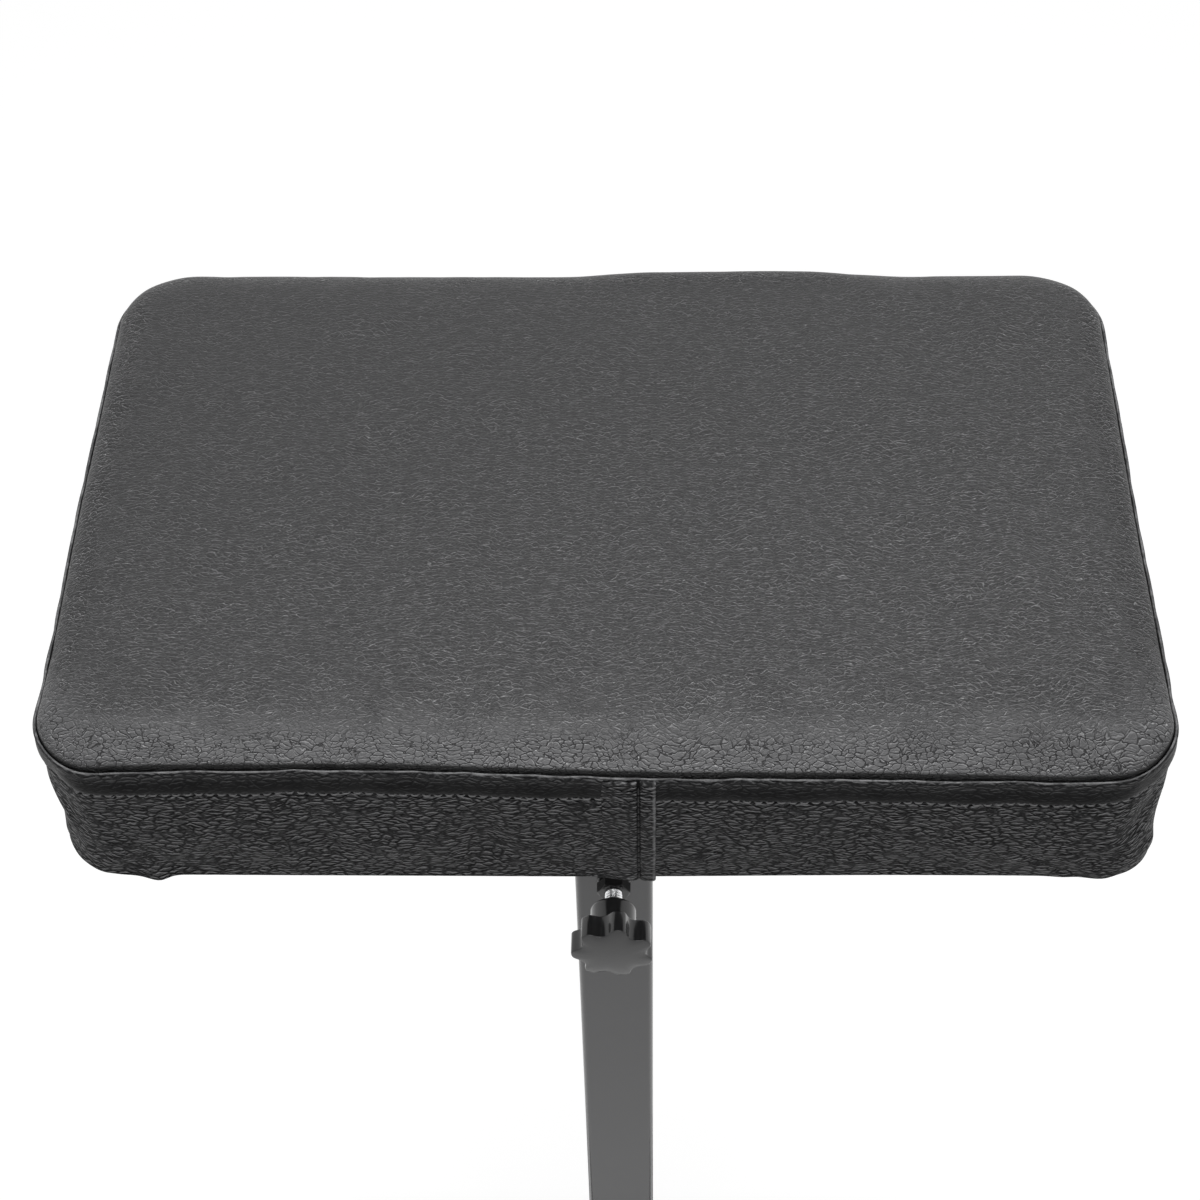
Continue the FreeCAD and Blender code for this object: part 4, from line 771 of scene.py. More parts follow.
def simulate(shell):
    """Inflates the coarse skin as cloth between its sewn seam and its stapled hem, and returns
    how far the rings and the top grid moved."""
    vertices, faces = shell.mesh()
    obj = make_object("cloth_trial", vertices, faces)
    rings = len(shell.rings)
    count = shell.count
    ring_end = rings * count
    m, n = shell.front_steps, shell.side_steps
    top_end = ring_end + (m - 1) * (n - 1)
    held = obj.vertex_groups.new(name="held")
    pinned = [*range(ring_end - HEM_ROWS * count, ring_end), *range(top_end, len(vertices))]
    held.add(pinned, 1.0, "REPLACE")
    seam = range(shell.seam_row * count, (shell.seam_row + 1) * count)
    held.add(list(seam), SEAM_HOLD, "REPLACE")
    cloth = obj.modifiers.new("cloth", "CLOTH")
    for name, value in CLOTH_SETTINGS.items():
        setattr(cloth.settings, name, value)
    cloth.settings.effector_weights.gravity = 0
    scene = bpy.context.scene
    cloth.point_cache.frame_start = 1
    cloth.point_cache.frame_end = CLOTH_FRAMES
    for number in range(1, CLOTH_FRAMES + 1):
        scene.frame_set(number)
    evaluated = obj.evaluated_get(bpy.context.evaluated_depsgraph_get())
    moved = np.zeros(len(vertices) * 3)
    evaluated.data.vertices.foreach_get("co", moved)
    shift = moved.reshape(-1, 3) - vertices
    scene.frame_set(1)
    bpy.data.objects.remove(obj)
    length = np.linalg.norm(shift, axis=1, keepdims=True) + 1e-12
    shift *= MOVE_CAP * np.tanh(length / MOVE_CAP) / length
    # The sides and the back stay straighter than the front
    shift *= (0.3 + 0.7 * smooth(-vertices[:, 1], 0.04, 0.115))[:, None]
    ring_shift = shift[:ring_end].reshape(rings, count, 3)
    top_shift = np.zeros((m + 1, n + 1, 3))
    top_shift[1:m, 1:n] = shift[ring_end:top_end].reshape(m - 1, n - 1, 3)
    for place, spot in shell.outline_spots():
        top_shift[spot] = ring_shift[0, place]
    return ring_shift, top_shift


def spread(values, old_places, new_places, axis):
    """Linear interpolation of an array along one axis."""
    values = np.moveaxis(values, axis, 0)
    flat = values.reshape(len(values), -1)
    out = np.stack([np.interp(new_places, old_places, flat[:, c]) for c in range(flat.shape[1])], 1)
    return np.moveaxis(out.reshape(len(new_places), *values.shape[1:]), 0, axis)


def ring_places(shell, other):
    """Each of shell's ring points as a place, with a fraction, along the other's ring."""
    places = []
    start = 0.0
    sides = ((shell.front_steps, other.front_steps), (shell.side_steps, other.side_steps)) * 2
    for steps, target in sides:
        places += [start + target * step / steps for step in range(steps)]
        start += target
    return np.array(places)


def row_depths(shell):
    """Each ring's distance along the skin from the edge of the top grid."""
    return run_along(shell.rings[:, 0])


def add_cloth(shell):
    coarse = coarse_shell()
    ring_shift, top_shift = simulate(coarse)
    wrapped = np.concatenate((ring_shift, ring_shift[:, :1]), 1)
    places = ring_places(shell, coarse)
    along = spread(wrapped, np.arange(coarse.count + 1), places, 1)
    shell.rings += spread(along, row_depths(coarse), row_depths(shell), 0)
    u = np.linspace(0, coarse.front_steps, shell.front_steps + 1)
    v = np.linspace(0, coarse.side_steps, shell.side_steps + 1)
    shift = spread(top_shift, np.arange(coarse.front_steps + 1), u, 0)
    shell.top += spread(shift, np.arange(coarse.side_steps + 1), v, 1)


# Rings of the finished skin, in mm. The band's folded upper edge stands up just outside the
# seam's groove.
TOP_INSETS = tuple(
    d * MM for d in (20, 17, 14.5, 12, 10, 8, 6.4, 5, 3.8, 2.8, 2.0, 1.3, 0.75, 0.35, 0.12, 0)
)
RIDGE = (
    (0.06, -1.0), (0.16, -0.1), (0.40, 0.42), (0.78, 0.46), (1.12, 0.16), (1.36, -0.5),
    (1.42, -1.3),
)
STRIP_DEPTHS = (2.4, 4.5, 7.0, 9.2, 10.2, 10.7, 11.1, 11.6, 12.3, 13.4, 15.0)
WALL_DEPTHS = tuple(np.linspace(18, 57, 14)) + (59.0, 60.8, 62.2, 63.3)
STITCH_DEPTH = 0.0111
GROOVE_DROP = 0.0012
STRIP_PROUD = 0.0009
STITCH_GROOVE = 0.0010


def fine_shell():
    wall = [(out * MM, up * MM) for out, up in RIDGE]
    for depth in STRIP_DEPTHS:
        depth *= MM
        proud = STRIP_PROUD * (1 - smooth(depth, 0.0092, 0.0122))
        groove = STITCH_GROOVE * bell(depth, STITCH_DEPTH, 0.0006)
        wall.append((float(wall_outward(depth) + proud - groove), -float(depth)))
    for depth in WALL_DEPTHS:
        wall.append((float(wall_outward(depth * MM)), -float(depth) * MM))
    floor = HEM_Z - SEAM_Z
    wall += [(0.0005, -0.0641), (-0.0012, -0.0643)]
    wall += [(-FOOT_DRAW - inward * MM, floor) for inward in (5, 9, 13, 18, 23, 27, 29.0)]
    wall.append((-FOOT_DRAW - 0.0296, floor + 0.0004))
    wall.append((-FOOT_DRAW - 0.0300, BOARD_BASE + 0.004 - SEAM_Z))
    shell = Shell(150, 96, TOP_INSETS, wall)
    shell.rings[shell.seam_row, :, 2] -= GROOVE_DROP
    shell.rings[shell.seam_row - 1, :, 2] -= 0.0004
    return shell


# How much lower than its plane the front seam runs: x in metres, drop in metres
FRONT_SEAM_DROPS = (
    (-0.200, 0.0010), (-0.182, 0.0016), (-0.155, 0.0002), (-0.129, -0.0004), (-0.077, -0.0007),
    (-0.045, 0.0004), (-0.023, 0.0016), (0.019, 0.0033), (0.058, 0.0031), (0.119, 0.0044),
    (0.165, 0.0052), (0.188, 0.0030), (0.200, 0.0012),
)
SEAM_WANDER = 0.0006
SLOW_BULGE = 0.0011
QUICK_BULGE = 0.0004
TOP_RIPPLE = 0.0005
# The pad's back half sits this far to the left
LEAN = 0.0009
# Per corner, near left first: (how far the lower edge rises, how far it draws in)
CORNER_DRAW = ((0.0004, -0.0006), (0.0, -0.0022), (0.0010, 0.0014), (0.0010, 0.0014))
# Per corner: folds as (place along the outline, slant, width, height)
CORNER_FOLDS = (
    ((-0.012, 0.45, 0.0032, 0.0006), (0.010, 0.75, 0.0030, 0.0012), (0.025, 0.95, 0.0034, 0.0012)),
    ((-0.026, -1.3, 0.0032, 0.0013), (-0.012, -0.9, 0.0028, 0.0014), (0.010, -0.3, 0.0030, 0.0006)),
    ((-0.016, -0.4, 0.0034, 0.0012), (0.004, 0.1, 0.0032, 0.0013), (0.020, 0.5, 0.0034, 0.0010)),
    ((-0.018, -0.5, 0.0034, 0.0012), (0.001, 0.2, 0.0032, 0.0013), (0.018, 0.6, 0.0034, 0.0010)),
)
# A loose tongue of leather hangs at the front's lower edge
TONGUE_X = -0.1640
TONGUE_DROP = 0.0044


def shape_skin(shell):
    """The seam's wander, the worked bulges and the corner folds, on top of the cloth's shape."""
    seam_x = shell.seam[:, 0]
    front = smooth(-shell.normals[:, 1], 0.35, 0.95)
    back = smooth(shell.normals[:, 1], 0.6, 0.98)
    drop = front * np.interp(seam_x, *zip(*FRONT_SEAM_DROPS))
    hump = 0.0028 * smooth(seam_x, -0.02, 0.02) - 0.0030 * smooth(seam_x, 0.075, 0.125)
    wander = np.array([ripple(x * 22, y * 22, 3.1) for x, y in shell.seam]) * SEAM_WANDER
    seam_shift = back * (hump - 0.0012) - drop + wander
    for row, ring in enumerate(shell.rings):
        if row <= shell.seam_row:
            ring[:, 2] += seam_shift * (1 - smooth(shell.insets[row], 0.0, 0.0195))
            continue
        depth = SEAM_Z - float(ring[0, 2])
        ring[:, 2] += seam_shift * (1 - smooth(depth, 0.004, PAD_WALL * 0.92))
        low = float(smooth(depth, 0.045, 0.062))
        ring[:, 2] += front * low * (0.0019 * smooth(seam_x, -0.02, 0.12) - 0.0003)
    for ring in shell.rings[shell.seam_row + 1 :]:
        depth = SEAM_Z - float(ring[0, 2])
        loose = smooth(depth, 0.010, 0.022) * (1 - smooth(depth, 0.060, 0.0642))
        slow = np.array([ripple(x * 30, y * 30, z * 34) for x, y, z in ring])
        quick = np.array([ripple(x * 75, y * 75, z * 90 + 5) for x, y, z in ring])
        out = (slow * SLOW_BULGE + quick * QUICK_BULGE) * loose
        ring[:, :2] += shell.normals * out[:, None]
    fold_corners(shell)
    hem = shell.rings[-9:-1]
    hem[..., 2] = np.minimum(hem[..., 2], BOARD_BASE - 0.0005)
    for points in (shell.rings, shell.top):
        points[..., 0] -= LEAN * smooth(points[..., 1], -0.09, 0.0)
    away = smooth(shell.edge_distance(shell.top), 0.012, 0.04)
    for i in range(1, shell.front_steps):
        for j in range(1, shell.side_steps):
            x, y = shell.top[i, j, :2]
            shell.top[i, j, 2] += TOP_RIPPLE * ripple(x * 15, y * 15, 9.3) * away[i, j]
    for place, spot in shell.outline_spots():
        shell.top[spot] = shell.rings[0, place]


def fold_corners(shell):
    """The leather is drawn up and in round the lower corners, in folds, with a loose tongue."""
    below = shell.rings[shell.seam_row + 1 :]
    m, n = shell.front_steps, shell.side_steps
    step = run_along(shell.seam)
    total = step[-1] + np.linalg.norm(shell.seam[0] - shell.seam[-1])
    for corner, middle in enumerate((0, step[m], step[m + n], step[2 * m + n])):
        run = (step - middle + total / 2) % total - total / 2
        about = bell(run, 0.0, 0.021)
        rise, draw = CORNER_DRAW[corner]
        for ring in below:
            depth = SEAM_Z - ring[:, 2]
            low = smooth(depth, 0.030, 0.0625)
            ring[:, 2] += rise * about * low
            ring[:, :2] -= shell.normals * (draw * about * low)[:, None]
            for place, slant, width, height in CORNER_FOLDS[corner]:
                line = place + slant * (PAD_WALL - depth)
                crest = bell(run, line, width) - 0.7 * bell(run, line + 1.6 * width, width)
                fade = smooth(depth, 0.036, 0.050) * (1 - 0.75 * smooth(depth, 0.056, 0.0635))
                ring[:, :2] += shell.normals * (height * crest * fade)[:, None]
    for ring in below:
        depth = SEAM_Z - ring[:, 2]
        hang = bell(ring[:, 0], TONGUE_X, 0.0042) * smooth(-shell.normals[:, 1], 0.8, 0.98)
        hang *= 1 - smooth(ring[:, 1], -0.1225, -0.1145)
        ring[:, 2] -= TONGUE_DROP * hang * smooth(depth, 0.056, 0.0635)


def add_attribute(mesh, name, values):
    layer = mesh.attributes.new(name, "FLOAT", "POINT")
    layer.data.foreach_set("value", np.asarray(values, np.float32))


# Within this distance of its seam the top is painted paler, a painted highlight
RIM_RUN = 0.025
# The dark strip under the seam ends at this depth
STRIP_END = 0.0106
# What the two grids count as, past every depth that matters
GRID_DEPTH = 1.0


def build_cushion(shell):
    vertices, faces = shell.mesh()
    obj = make_object("pad_cushion", vertices, faces)
    mesh = obj.data
    count = shell.count
    seam_row = shell.seam_row
    ring_total = len(shell.rings) * count
    length = run_along(shell.seam)
    row_of = np.full(len(vertices), -1)
    row_of[:ring_total] = np.repeat(np.arange(len(shell.rings)), count)
    below = row_of > seam_row
    depth = np.concatenate((shell.plain_depths, [GRID_DEPTH]))[row_of]
    band = below * 1.0
    band[ring_total + (shell.front_steps - 1) * (shell.side_steps - 1) :] = 1.0
    rim = np.clip(1 - shell.edge_distance(vertices) / RIM_RUN, 0, 1) * (band == 0)
    # Painted highlight on the rim, strongest at the front; right by the seam it is weakened, a
    # painted shade
    pale = rim * (0.12 + 0.88 * smooth(-vertices[:, 1], 0.07, 0.118))
    pale *= 1 - 0.45 * smooth(rim, 0.88, 1.0)
    strip = (0.64 + 0.36 * smooth(depth, 0.0015, 0.0055)) * below
    strip *= 1 - smooth(depth, STRIP_END, STRIP_END + 0.0012)
    # Painted shade: the rows about the seam's groove, and the band's stitch groove
    crease_shade = np.abs(row_of - seam_row + 0.5) < 2
    crease_shade = crease_shade + 0.6 * bell(depth, STITCH_DEPTH, 0.0005) * below
    # How strongly the top's painted highlight strokes show: more towards the front right
    front_right = 1.6 * vertices[:, 0] - 4.6 * vertices[:, 1]
    attributes = {
        "rim": rim,
        "pale": pale,
        "wear_and_highlight": 0.45 + 0.55 * smooth(front_right, -0.8, 0.8),
        "strip": strip,
        # Painted highlight rows on the band's folded ridge
        "ridge_highlight": (row_of == seam_row + 3) | (row_of == seam_row + 4),
        "crease_shade": crease_shade,
    }
    for name, values in attributes.items():
        add_attribute(mesh, name, values)
    layer = mesh.uv_layers.new(name="leather")
    skin = row_depths(shell)
    total = length[-1] + np.linalg.norm(shell.seam[0] - shell.seam[-1])
    places = np.zeros((len(mesh.loops), 2))
    for polygon in mesh.polygons:
        spots = [mesh.loops[i].vertex_index for i in polygon.loop_indices]
        on_band = min(row_of[spots]) >= seam_row
        for loop, spot in zip(polygon.loop_indices, spots):
            row, place = row_of[spot], spot % count
            if on_band:
                at_start = place == 0 and any(s % count == count - 1 for s in spots)
                along = total if at_start else length[place]
                places[loop] = (along + 1.0, skin[seam_row] - skin[row])
            elif row >= 0:
                spread_out = shell.normals[place] * skin[min(row, seam_row)]
                places[loop] = shell.rings[0, place, :2] + spread_out
            else:
                places[loop] = vertices[spot][:2]
    layer.data.foreach_set("uv", places.ravel())
    refine = obj.modifiers.new("refine", "SUBSURF")
    refine.levels = refine.render_levels = 1
    finish_piece(obj, "head", leather)
    mesh.materials.append(side_leather)
    on_side = [int(band[list(polygon.vertices)].max() > 0) for polygon in mesh.polygons]
    mesh.polygons.foreach_set("material_index", on_side)
    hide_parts("foam_core", "cover_top_panel", "cover_side_band", "cover_hem")


skin = fine_shell()
add_cloth(skin)
shape_skin(skin)
build_cushion(skin)


# Threads


class Route:
    """A polyline with outward directions, walked by length."""

    def __init__(self, points, outward, closed=False):
        if closed:
            points = np.concatenate((points, points[:1]))
            outward = np.concatenate((outward, outward[:1]))
        self.points = np.asarray(points, float)
        self.outward = np.asarray(outward, float)
        self.places = run_along(self.points)
        self.length = float(self.places[-1])

    def at(self, place, values=None):
        values = self.points if values is None else values
        return np.array([np.interp(place, self.places, values[:, c]) for c in range(3)])


STITCH_PITCH = 0.0040
STITCH_JITTER = 0.00006
# Half a stitch's length, as a share of the pitch
STITCH_REACH = 0.40
THREAD_RADIUS = 0.00034
HOLE_DEPTH = 0.00045
# How high a stitch's middle lies over its route
BAND_LIFT = 0.00100
LAP_LIFT = 0.00030


def sew(pile, route, first, last, lift):
    """Stitches along a route: each rises from its hole, lies on the leather and dives again."""
    for k in range(int((last - first) / STITCH_PITCH)):
        middle = first + (k + 0.5) * STITCH_PITCH + rng.normal(0, STITCH_JITTER)
        points = []
        radii = []
        for share in (-1.0, -0.8, -0.45, 0.0, 0.45, 0.8, 1.0):
            place = middle + share * STITCH_PITCH * STITCH_REACH
            place = min(max(place, 0), route.length)
            rise = lift - (lift + HOLE_DEPTH) * share**4
            points.append(route.at(place) + route.at(place, route.outward) * rise)
            radii.append(THREAD_RADIUS * (1 - 0.35 * share**4))
        pile.tube(points, radii, sides=7, normal=route.at(middle, route.outward))


def make_band_stitches(shell):
    row = int(np.argmin(np.abs(shell.plain_depths - STITCH_DEPTH)))
    outward = np.column_stack((shell.normals, np.zeros(shell.count)))
    route = Route(shell.rings[row], outward, closed=True)
    pile = Pile()
    sew(pile, route, 0.0, route.length, BAND_LIFT)
    finish_piece(pile.build("band_stitches"), "head", thread)


# The lap where the band's two ends meet on the front, left end over right. Its profile is
# pairs of (x, height), and its back lies at two more x.
LAP_PLACE = 0.0022
LAP_EDGE = 0.0167
LAP_STITCH = 0.0106
LAP_PROFILE = (
    (-0.0040, -0.00030), (-0.0010, 0.00020), (0.0020, 0.00066), (0.0045, 0.00100),
    (0.0070, 0.00126), (0.0086, 0.00130), (0.0096, 0.00104), (0.0102, 0.00060),
    (0.0106, 0.00036), (0.0110, 0.00060), (0.0116, 0.00104), (0.0126, 0.00140),
    (0.0140, 0.00154), (0.0154, 0.00156), (0.0162, 0.00144), (0.0167, 0.00108),
    (0.0168, 0.00062), (0.0167, 0.00015), (0.0164, -0.00030),
)
LAP_BACK = (LAP_EDGE - 0.0009, -0.0030)
LAP_SINK = 0.0008
LAP_FOLD = 0.0163
LAP_WOBBLE = 0.00022


def front_profile(shell, x, rows):
    """The band's line down the front at x, and the way out of it at each of its points."""
    fronts = shell.rings[rows, : shell.front_steps + 1]
    line = np.array([[x, *(np.interp(x, r[:, 0], r[:, c]) for c in (1, 2))] for r in fronts])
    tangent = np.gradient(line, axis=0)
    outward = np.column_stack((np.zeros(len(line)), tangent[:, 2], -tangent[:, 1]))
    outward /= np.linalg.norm(outward, axis=1, keepdims=True)
    return line, outward


def make_lap(shell):
    rows = list(range(shell.seam_row + 5, len(shell.rings) - 7))
    middle, outward = front_profile(shell, LAP_PLACE + LAP_STITCH, rows)
    run = run_along(middle)
    grown = smooth(run, 0, 0.0022) * (1 - 0.7 * smooth(run, run[-1] - 0.003, run[-1]))
    wobble = LAP_WOBBLE * np.array([ripple(0.3, p * 90, 1.7) for p in run])
    columns = []
    for x, rise in LAP_PROFILE:
        line, _ = front_profile(shell, LAP_PLACE + x, rows)
        line[:, 0] += wobble * smooth(x, 0.012, 0.016)
        columns.append(line + outward * (rise * grown)[:, None])
    for x in LAP_BACK:
        columns.append(front_profile(shell, LAP_PLACE + x, rows)[0] - outward * LAP_SINK)
    wide = len(columns)
    vertices = np.stack(columns, 1).reshape(-1, 3)
    faces = grid_faces(len(rows), wide, closed=True, capped=True)
    obj = make_object("band_lap", vertices, faces)
    mesh = obj.data
    spots = np.array([loop.vertex_index for loop in mesh.loops])
    places = np.column_stack((vertices[spots, 0] + 1.6, -run[spots // wide]))
    mesh.uv_layers.new(name="leather").data.foreach_set("uv", places.ravel())
    across = np.array([x for x, _ in LAP_PROFILE] + [LAP_PROFILE[-1][0]] * len(LAP_BACK))
    # Painted shade along the lap's folded side and its stitch line
    at_side = (np.arange(wide) >= len(LAP_PROFILE) - 3) | (np.abs(across - LAP_STITCH) < 0.0005)
    # Painted highlight along the lap's folded edge
    add_attribute(mesh, "ridge_highlight", np.tile(bell(across, LAP_FOLD, 0.0004), len(rows)))
    add_attribute(mesh, "strip", np.full(len(vertices), 0.15))
    add_attribute(mesh, "crease_shade", np.tile(at_side, len(rows)))
    finish_piece(obj, "head", side_leather)
    route = Route(middle + outward * THREAD_RADIUS, outward)
    pile = Pile()
    sew(pile, route, 0.0030, route.length - 0.0035, LAP_LIFT)
    finish_piece(pile.build("lap_stitches"), "head", dark_thread)


make_band_stitches(skin)
make_lap(skin)


# The sheet under the pad, and its staples
SHEET_HALF_LENGTH = 0.183
SHEET_HALF_DEPTH = 0.1105
SHEET_CORNER = 0.012
SHEET_OUTER_Z = 0.84790
SHEET_INNER_Z = 0.84905
SHEET_THICK = 0.00034
# The sheet hangs this much between two staples
SHEET_SAG = 0.00045
SHEET_INSETS = (0, 0.6, 2, 4, 6, 8, 10, 12, 13, 14, 15, 16, 18, 22)
STAPLE_PITCH = 0.036
STAPLE_INSET = 0.005
STAPLE_RADIUS = 0.00052
STAPLE_FLAT = 0.62
STAPLE_SINK = 0.00020
STAPLE_JITTER = 0.06
STAPLE_SKEW = 0.09
# Half a staple, from the end of its leg: along it, and up from its middle
STAPLE_LEG = ((-0.0053, 0.0016), (-0.0053, 0.0005), (-0.0050, 0.00012), (-0.0045, 0.0))


def sheet_height(inset, place):
    """The sheet's underside: under the hem near its edge, then up against the board."""
    pull = 0.5 + 0.5 * math.cos(TURN * place / STAPLE_PITCH)
    sag = SHEET_SAG * (1 - pull) * float(1 - smooth(inset, 0.004, 0.014))
    step = float(smooth(inset, 0.0125, 0.0165))
    return SHEET_OUTER_Z - sag + (SHEET_INNER_Z - SHEET_OUTER_Z) * step


def make_dust_sheet():
    steps = (120, 72)
    half = (SHEET_HALF_LENGTH, SHEET_HALF_DEPTH)
    loop, normals = rounded_loop(*half, (SHEET_CORNER,) * 4, *steps)
    count = len(loop)
    places = run_along(loop)
    rings = []
    for inset in SHEET_INSETS:
        flat = loop - normals * (inset * MM)
        rings.append([(x, y, sheet_height(inset * MM, s)) for (x, y), s in zip(flat, places)])
    under = np.array(rings)
    thickness = np.array((0, 0, SHEET_THICK))
    fill = patch_inside(under[-1], *steps)
    for point in fill.reshape(-1, 3):
        point[2] += 0.00004 * ripple(point[0] * 40, point[1] * 40, 0.5)
    vertices = [point for ring in (*under[::-1], *(under + thickness)) for point in ring]
    faces = grid_faces(2 * len(rings), count, closed=True, flip=True)
    add_grid(vertices, faces, fill, 0, False)
    add_grid(vertices, faces, fill + thickness, (2 * len(rings) - 1) * count, True)
    obj = make_object("pad_dust_sheet", vertices, faces)
    finish_piece(obj, "head", nonwoven)
    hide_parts("dust_cover")
    make_staples(loop - normals * STAPLE_INSET, normals)


def make_staples(loop, normals):
    level = np.zeros(len(loop))
    outline = Route(np.column_stack((loop, level)), np.column_stack((normals, level)), closed=True)
    line = (*STAPLE_LEG, *((-x, z) for x, z in reversed(STAPLE_LEG)))
    up = np.array((0, 0, 1.0))
    pile = Pile()
    for k in range(int(outline.length / STAPLE_PITCH)):
        middle = (k + rng.uniform(-STAPLE_JITTER, STAPLE_JITTER)) * STAPLE_PITCH
        if middle < 0:
            continue
        across = outline.at(middle, outline.outward)
        angle = math.atan2(across[1], across[0]) + TURN / 4 + rng.normal(0, STAPLE_SKEW)
        ahead = np.array((*direction(angle), 0))
        centre = outline.at(middle) + up * (SHEET_OUTER_Z - STAPLE_SINK)
        points = [centre + ahead * x + up * z for x, z in line]
        pile.tube(points, [STAPLE_RADIUS] * len(points), flat=STAPLE_FLAT, normal=up)
    finish_piece(pile.build("dust_sheet_staples"), "head", zinc)


make_dust_sheet()


# The clamp's threaded stud
STUD_Z = 0.681
STUD_NEAR = -0.0181
STUD_FAR = -0.0466
THREAD_PITCH = 0.00125
THREAD_CREST = 0.00395
THREAD_ROOT = 0.00330
STUD_SIDES = 28
# The plain end inside the swivel tip, as (y, radius)
STUD_TIP = (
    (-0.0163, 0.0012), (-0.0163, 0.0017), (-0.0166, 0.0020), (STUD_NEAR, 0.0020),
    (STUD_NEAR, 0.0029),
)


def thread_radius(phase):
    """A rolled thread's radius, this share of a turn past a crest."""
    share = abs((phase % 1) - 0.5) * 2
    return THREAD_ROOT + (THREAD_CREST - THREAD_ROOT) * float(smooth(share, 0.22, 0.92))


def stud_ring(y, limit, threaded=False):
    points = []
    for k in range(STUD_SIDES):
        share = k / STUD_SIDES
        radius = min(thread_radius(y / THREAD_PITCH + share), limit) if threaded else limit
        x, z = radius * direction(TURN * share)
        points.append((x, y, STUD_Z + z))
    return points


def make_stud():
    vertices = []
    for y, radius in STUD_TIP:
        vertices += stud_ring(y, radius)
    first, last = STUD_NEAR - 0.0003, STUD_FAR + 0.0003
    steps = int((STUD_NEAR - STUD_FAR) / (THREAD_PITCH / 7))
    for i in range(steps + 1):
        y = first - (first - last) * i / steps
        vertices += stud_ring(y, 0.0031 + min(STUD_NEAR - y, y - STUD_FAR), True)
    vertices += stud_ring(STUD_FAR, 0.0029)
    rows = len(vertices) // STUD_SIDES
    faces = grid_faces(rows, STUD_SIDES, closed=True, capped=True, flip=True)
    obj = make_object("clamp_threaded_stud", vertices, faces)
    finish_piece(obj, "clamp_screw", chrome)
    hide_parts("clamp_stud")


make_stud()


# Star knobs: the solids' outline, with a slightly domed face and a rounder rim
KNOB_LOBES = 7
KNOB_RADIUS = 0.0184
KNOB_LOBE_WIDTH = 0.006
KNOB_VALLEY = 0.0039
KNOB_STAR_THICK = 0.012
KNOB_HUB_RADIUS = 0.0102
KNOB_HUB_ROUND = 0.0022
KNOB_FACE_ROUND = 0.0008
KNOB_BACK_ROUND = 0.0005
KNOB_DOME = 0.0012
KNOB_SHOULDER = 0.0003
KNOB_STEPS = KNOB_LOBES * 44


def knob_outline():
    """The star's radius at each step of a turn. A valley is an arc through its floor and the
    corners of its two lobes, and the corners are rounded by averaging."""
    swing = math.pi / KNOB_LOBES - math.asin(KNOB_LOBE_WIDTH / 2 / KNOB_RADIUS)
    floor = KNOB_RADIUS - KNOB_VALLEY
    rise = KNOB_RADIUS * math.cos(swing) - floor
    valley = ((KNOB_RADIUS * math.sin(swing)) ** 2 + rise**2) / (2 * rise)
    sector = TURN / KNOB_LOBES
    off = (TURN * np.arange(KNOB_STEPS) / KNOB_STEPS + sector / 2) % sector - sector / 2
    span = valley**2 - ((floor + valley) * np.sin(off)) ** 2
    inner = (floor + valley) * np.cos(off) - np.sqrt(np.maximum(span, 0))
    radii = np.where(span > 0, np.minimum(KNOB_RADIUS, inner), KNOB_RADIUS)
    for _ in range(16):
        radii = (np.roll(radii, 1) + 2 * radii + np.roll(radii, -1)) / 4
    return radii


def quarter_turn(steps):
    return [TURN / 4 * i / steps for i in range(steps + 1)]


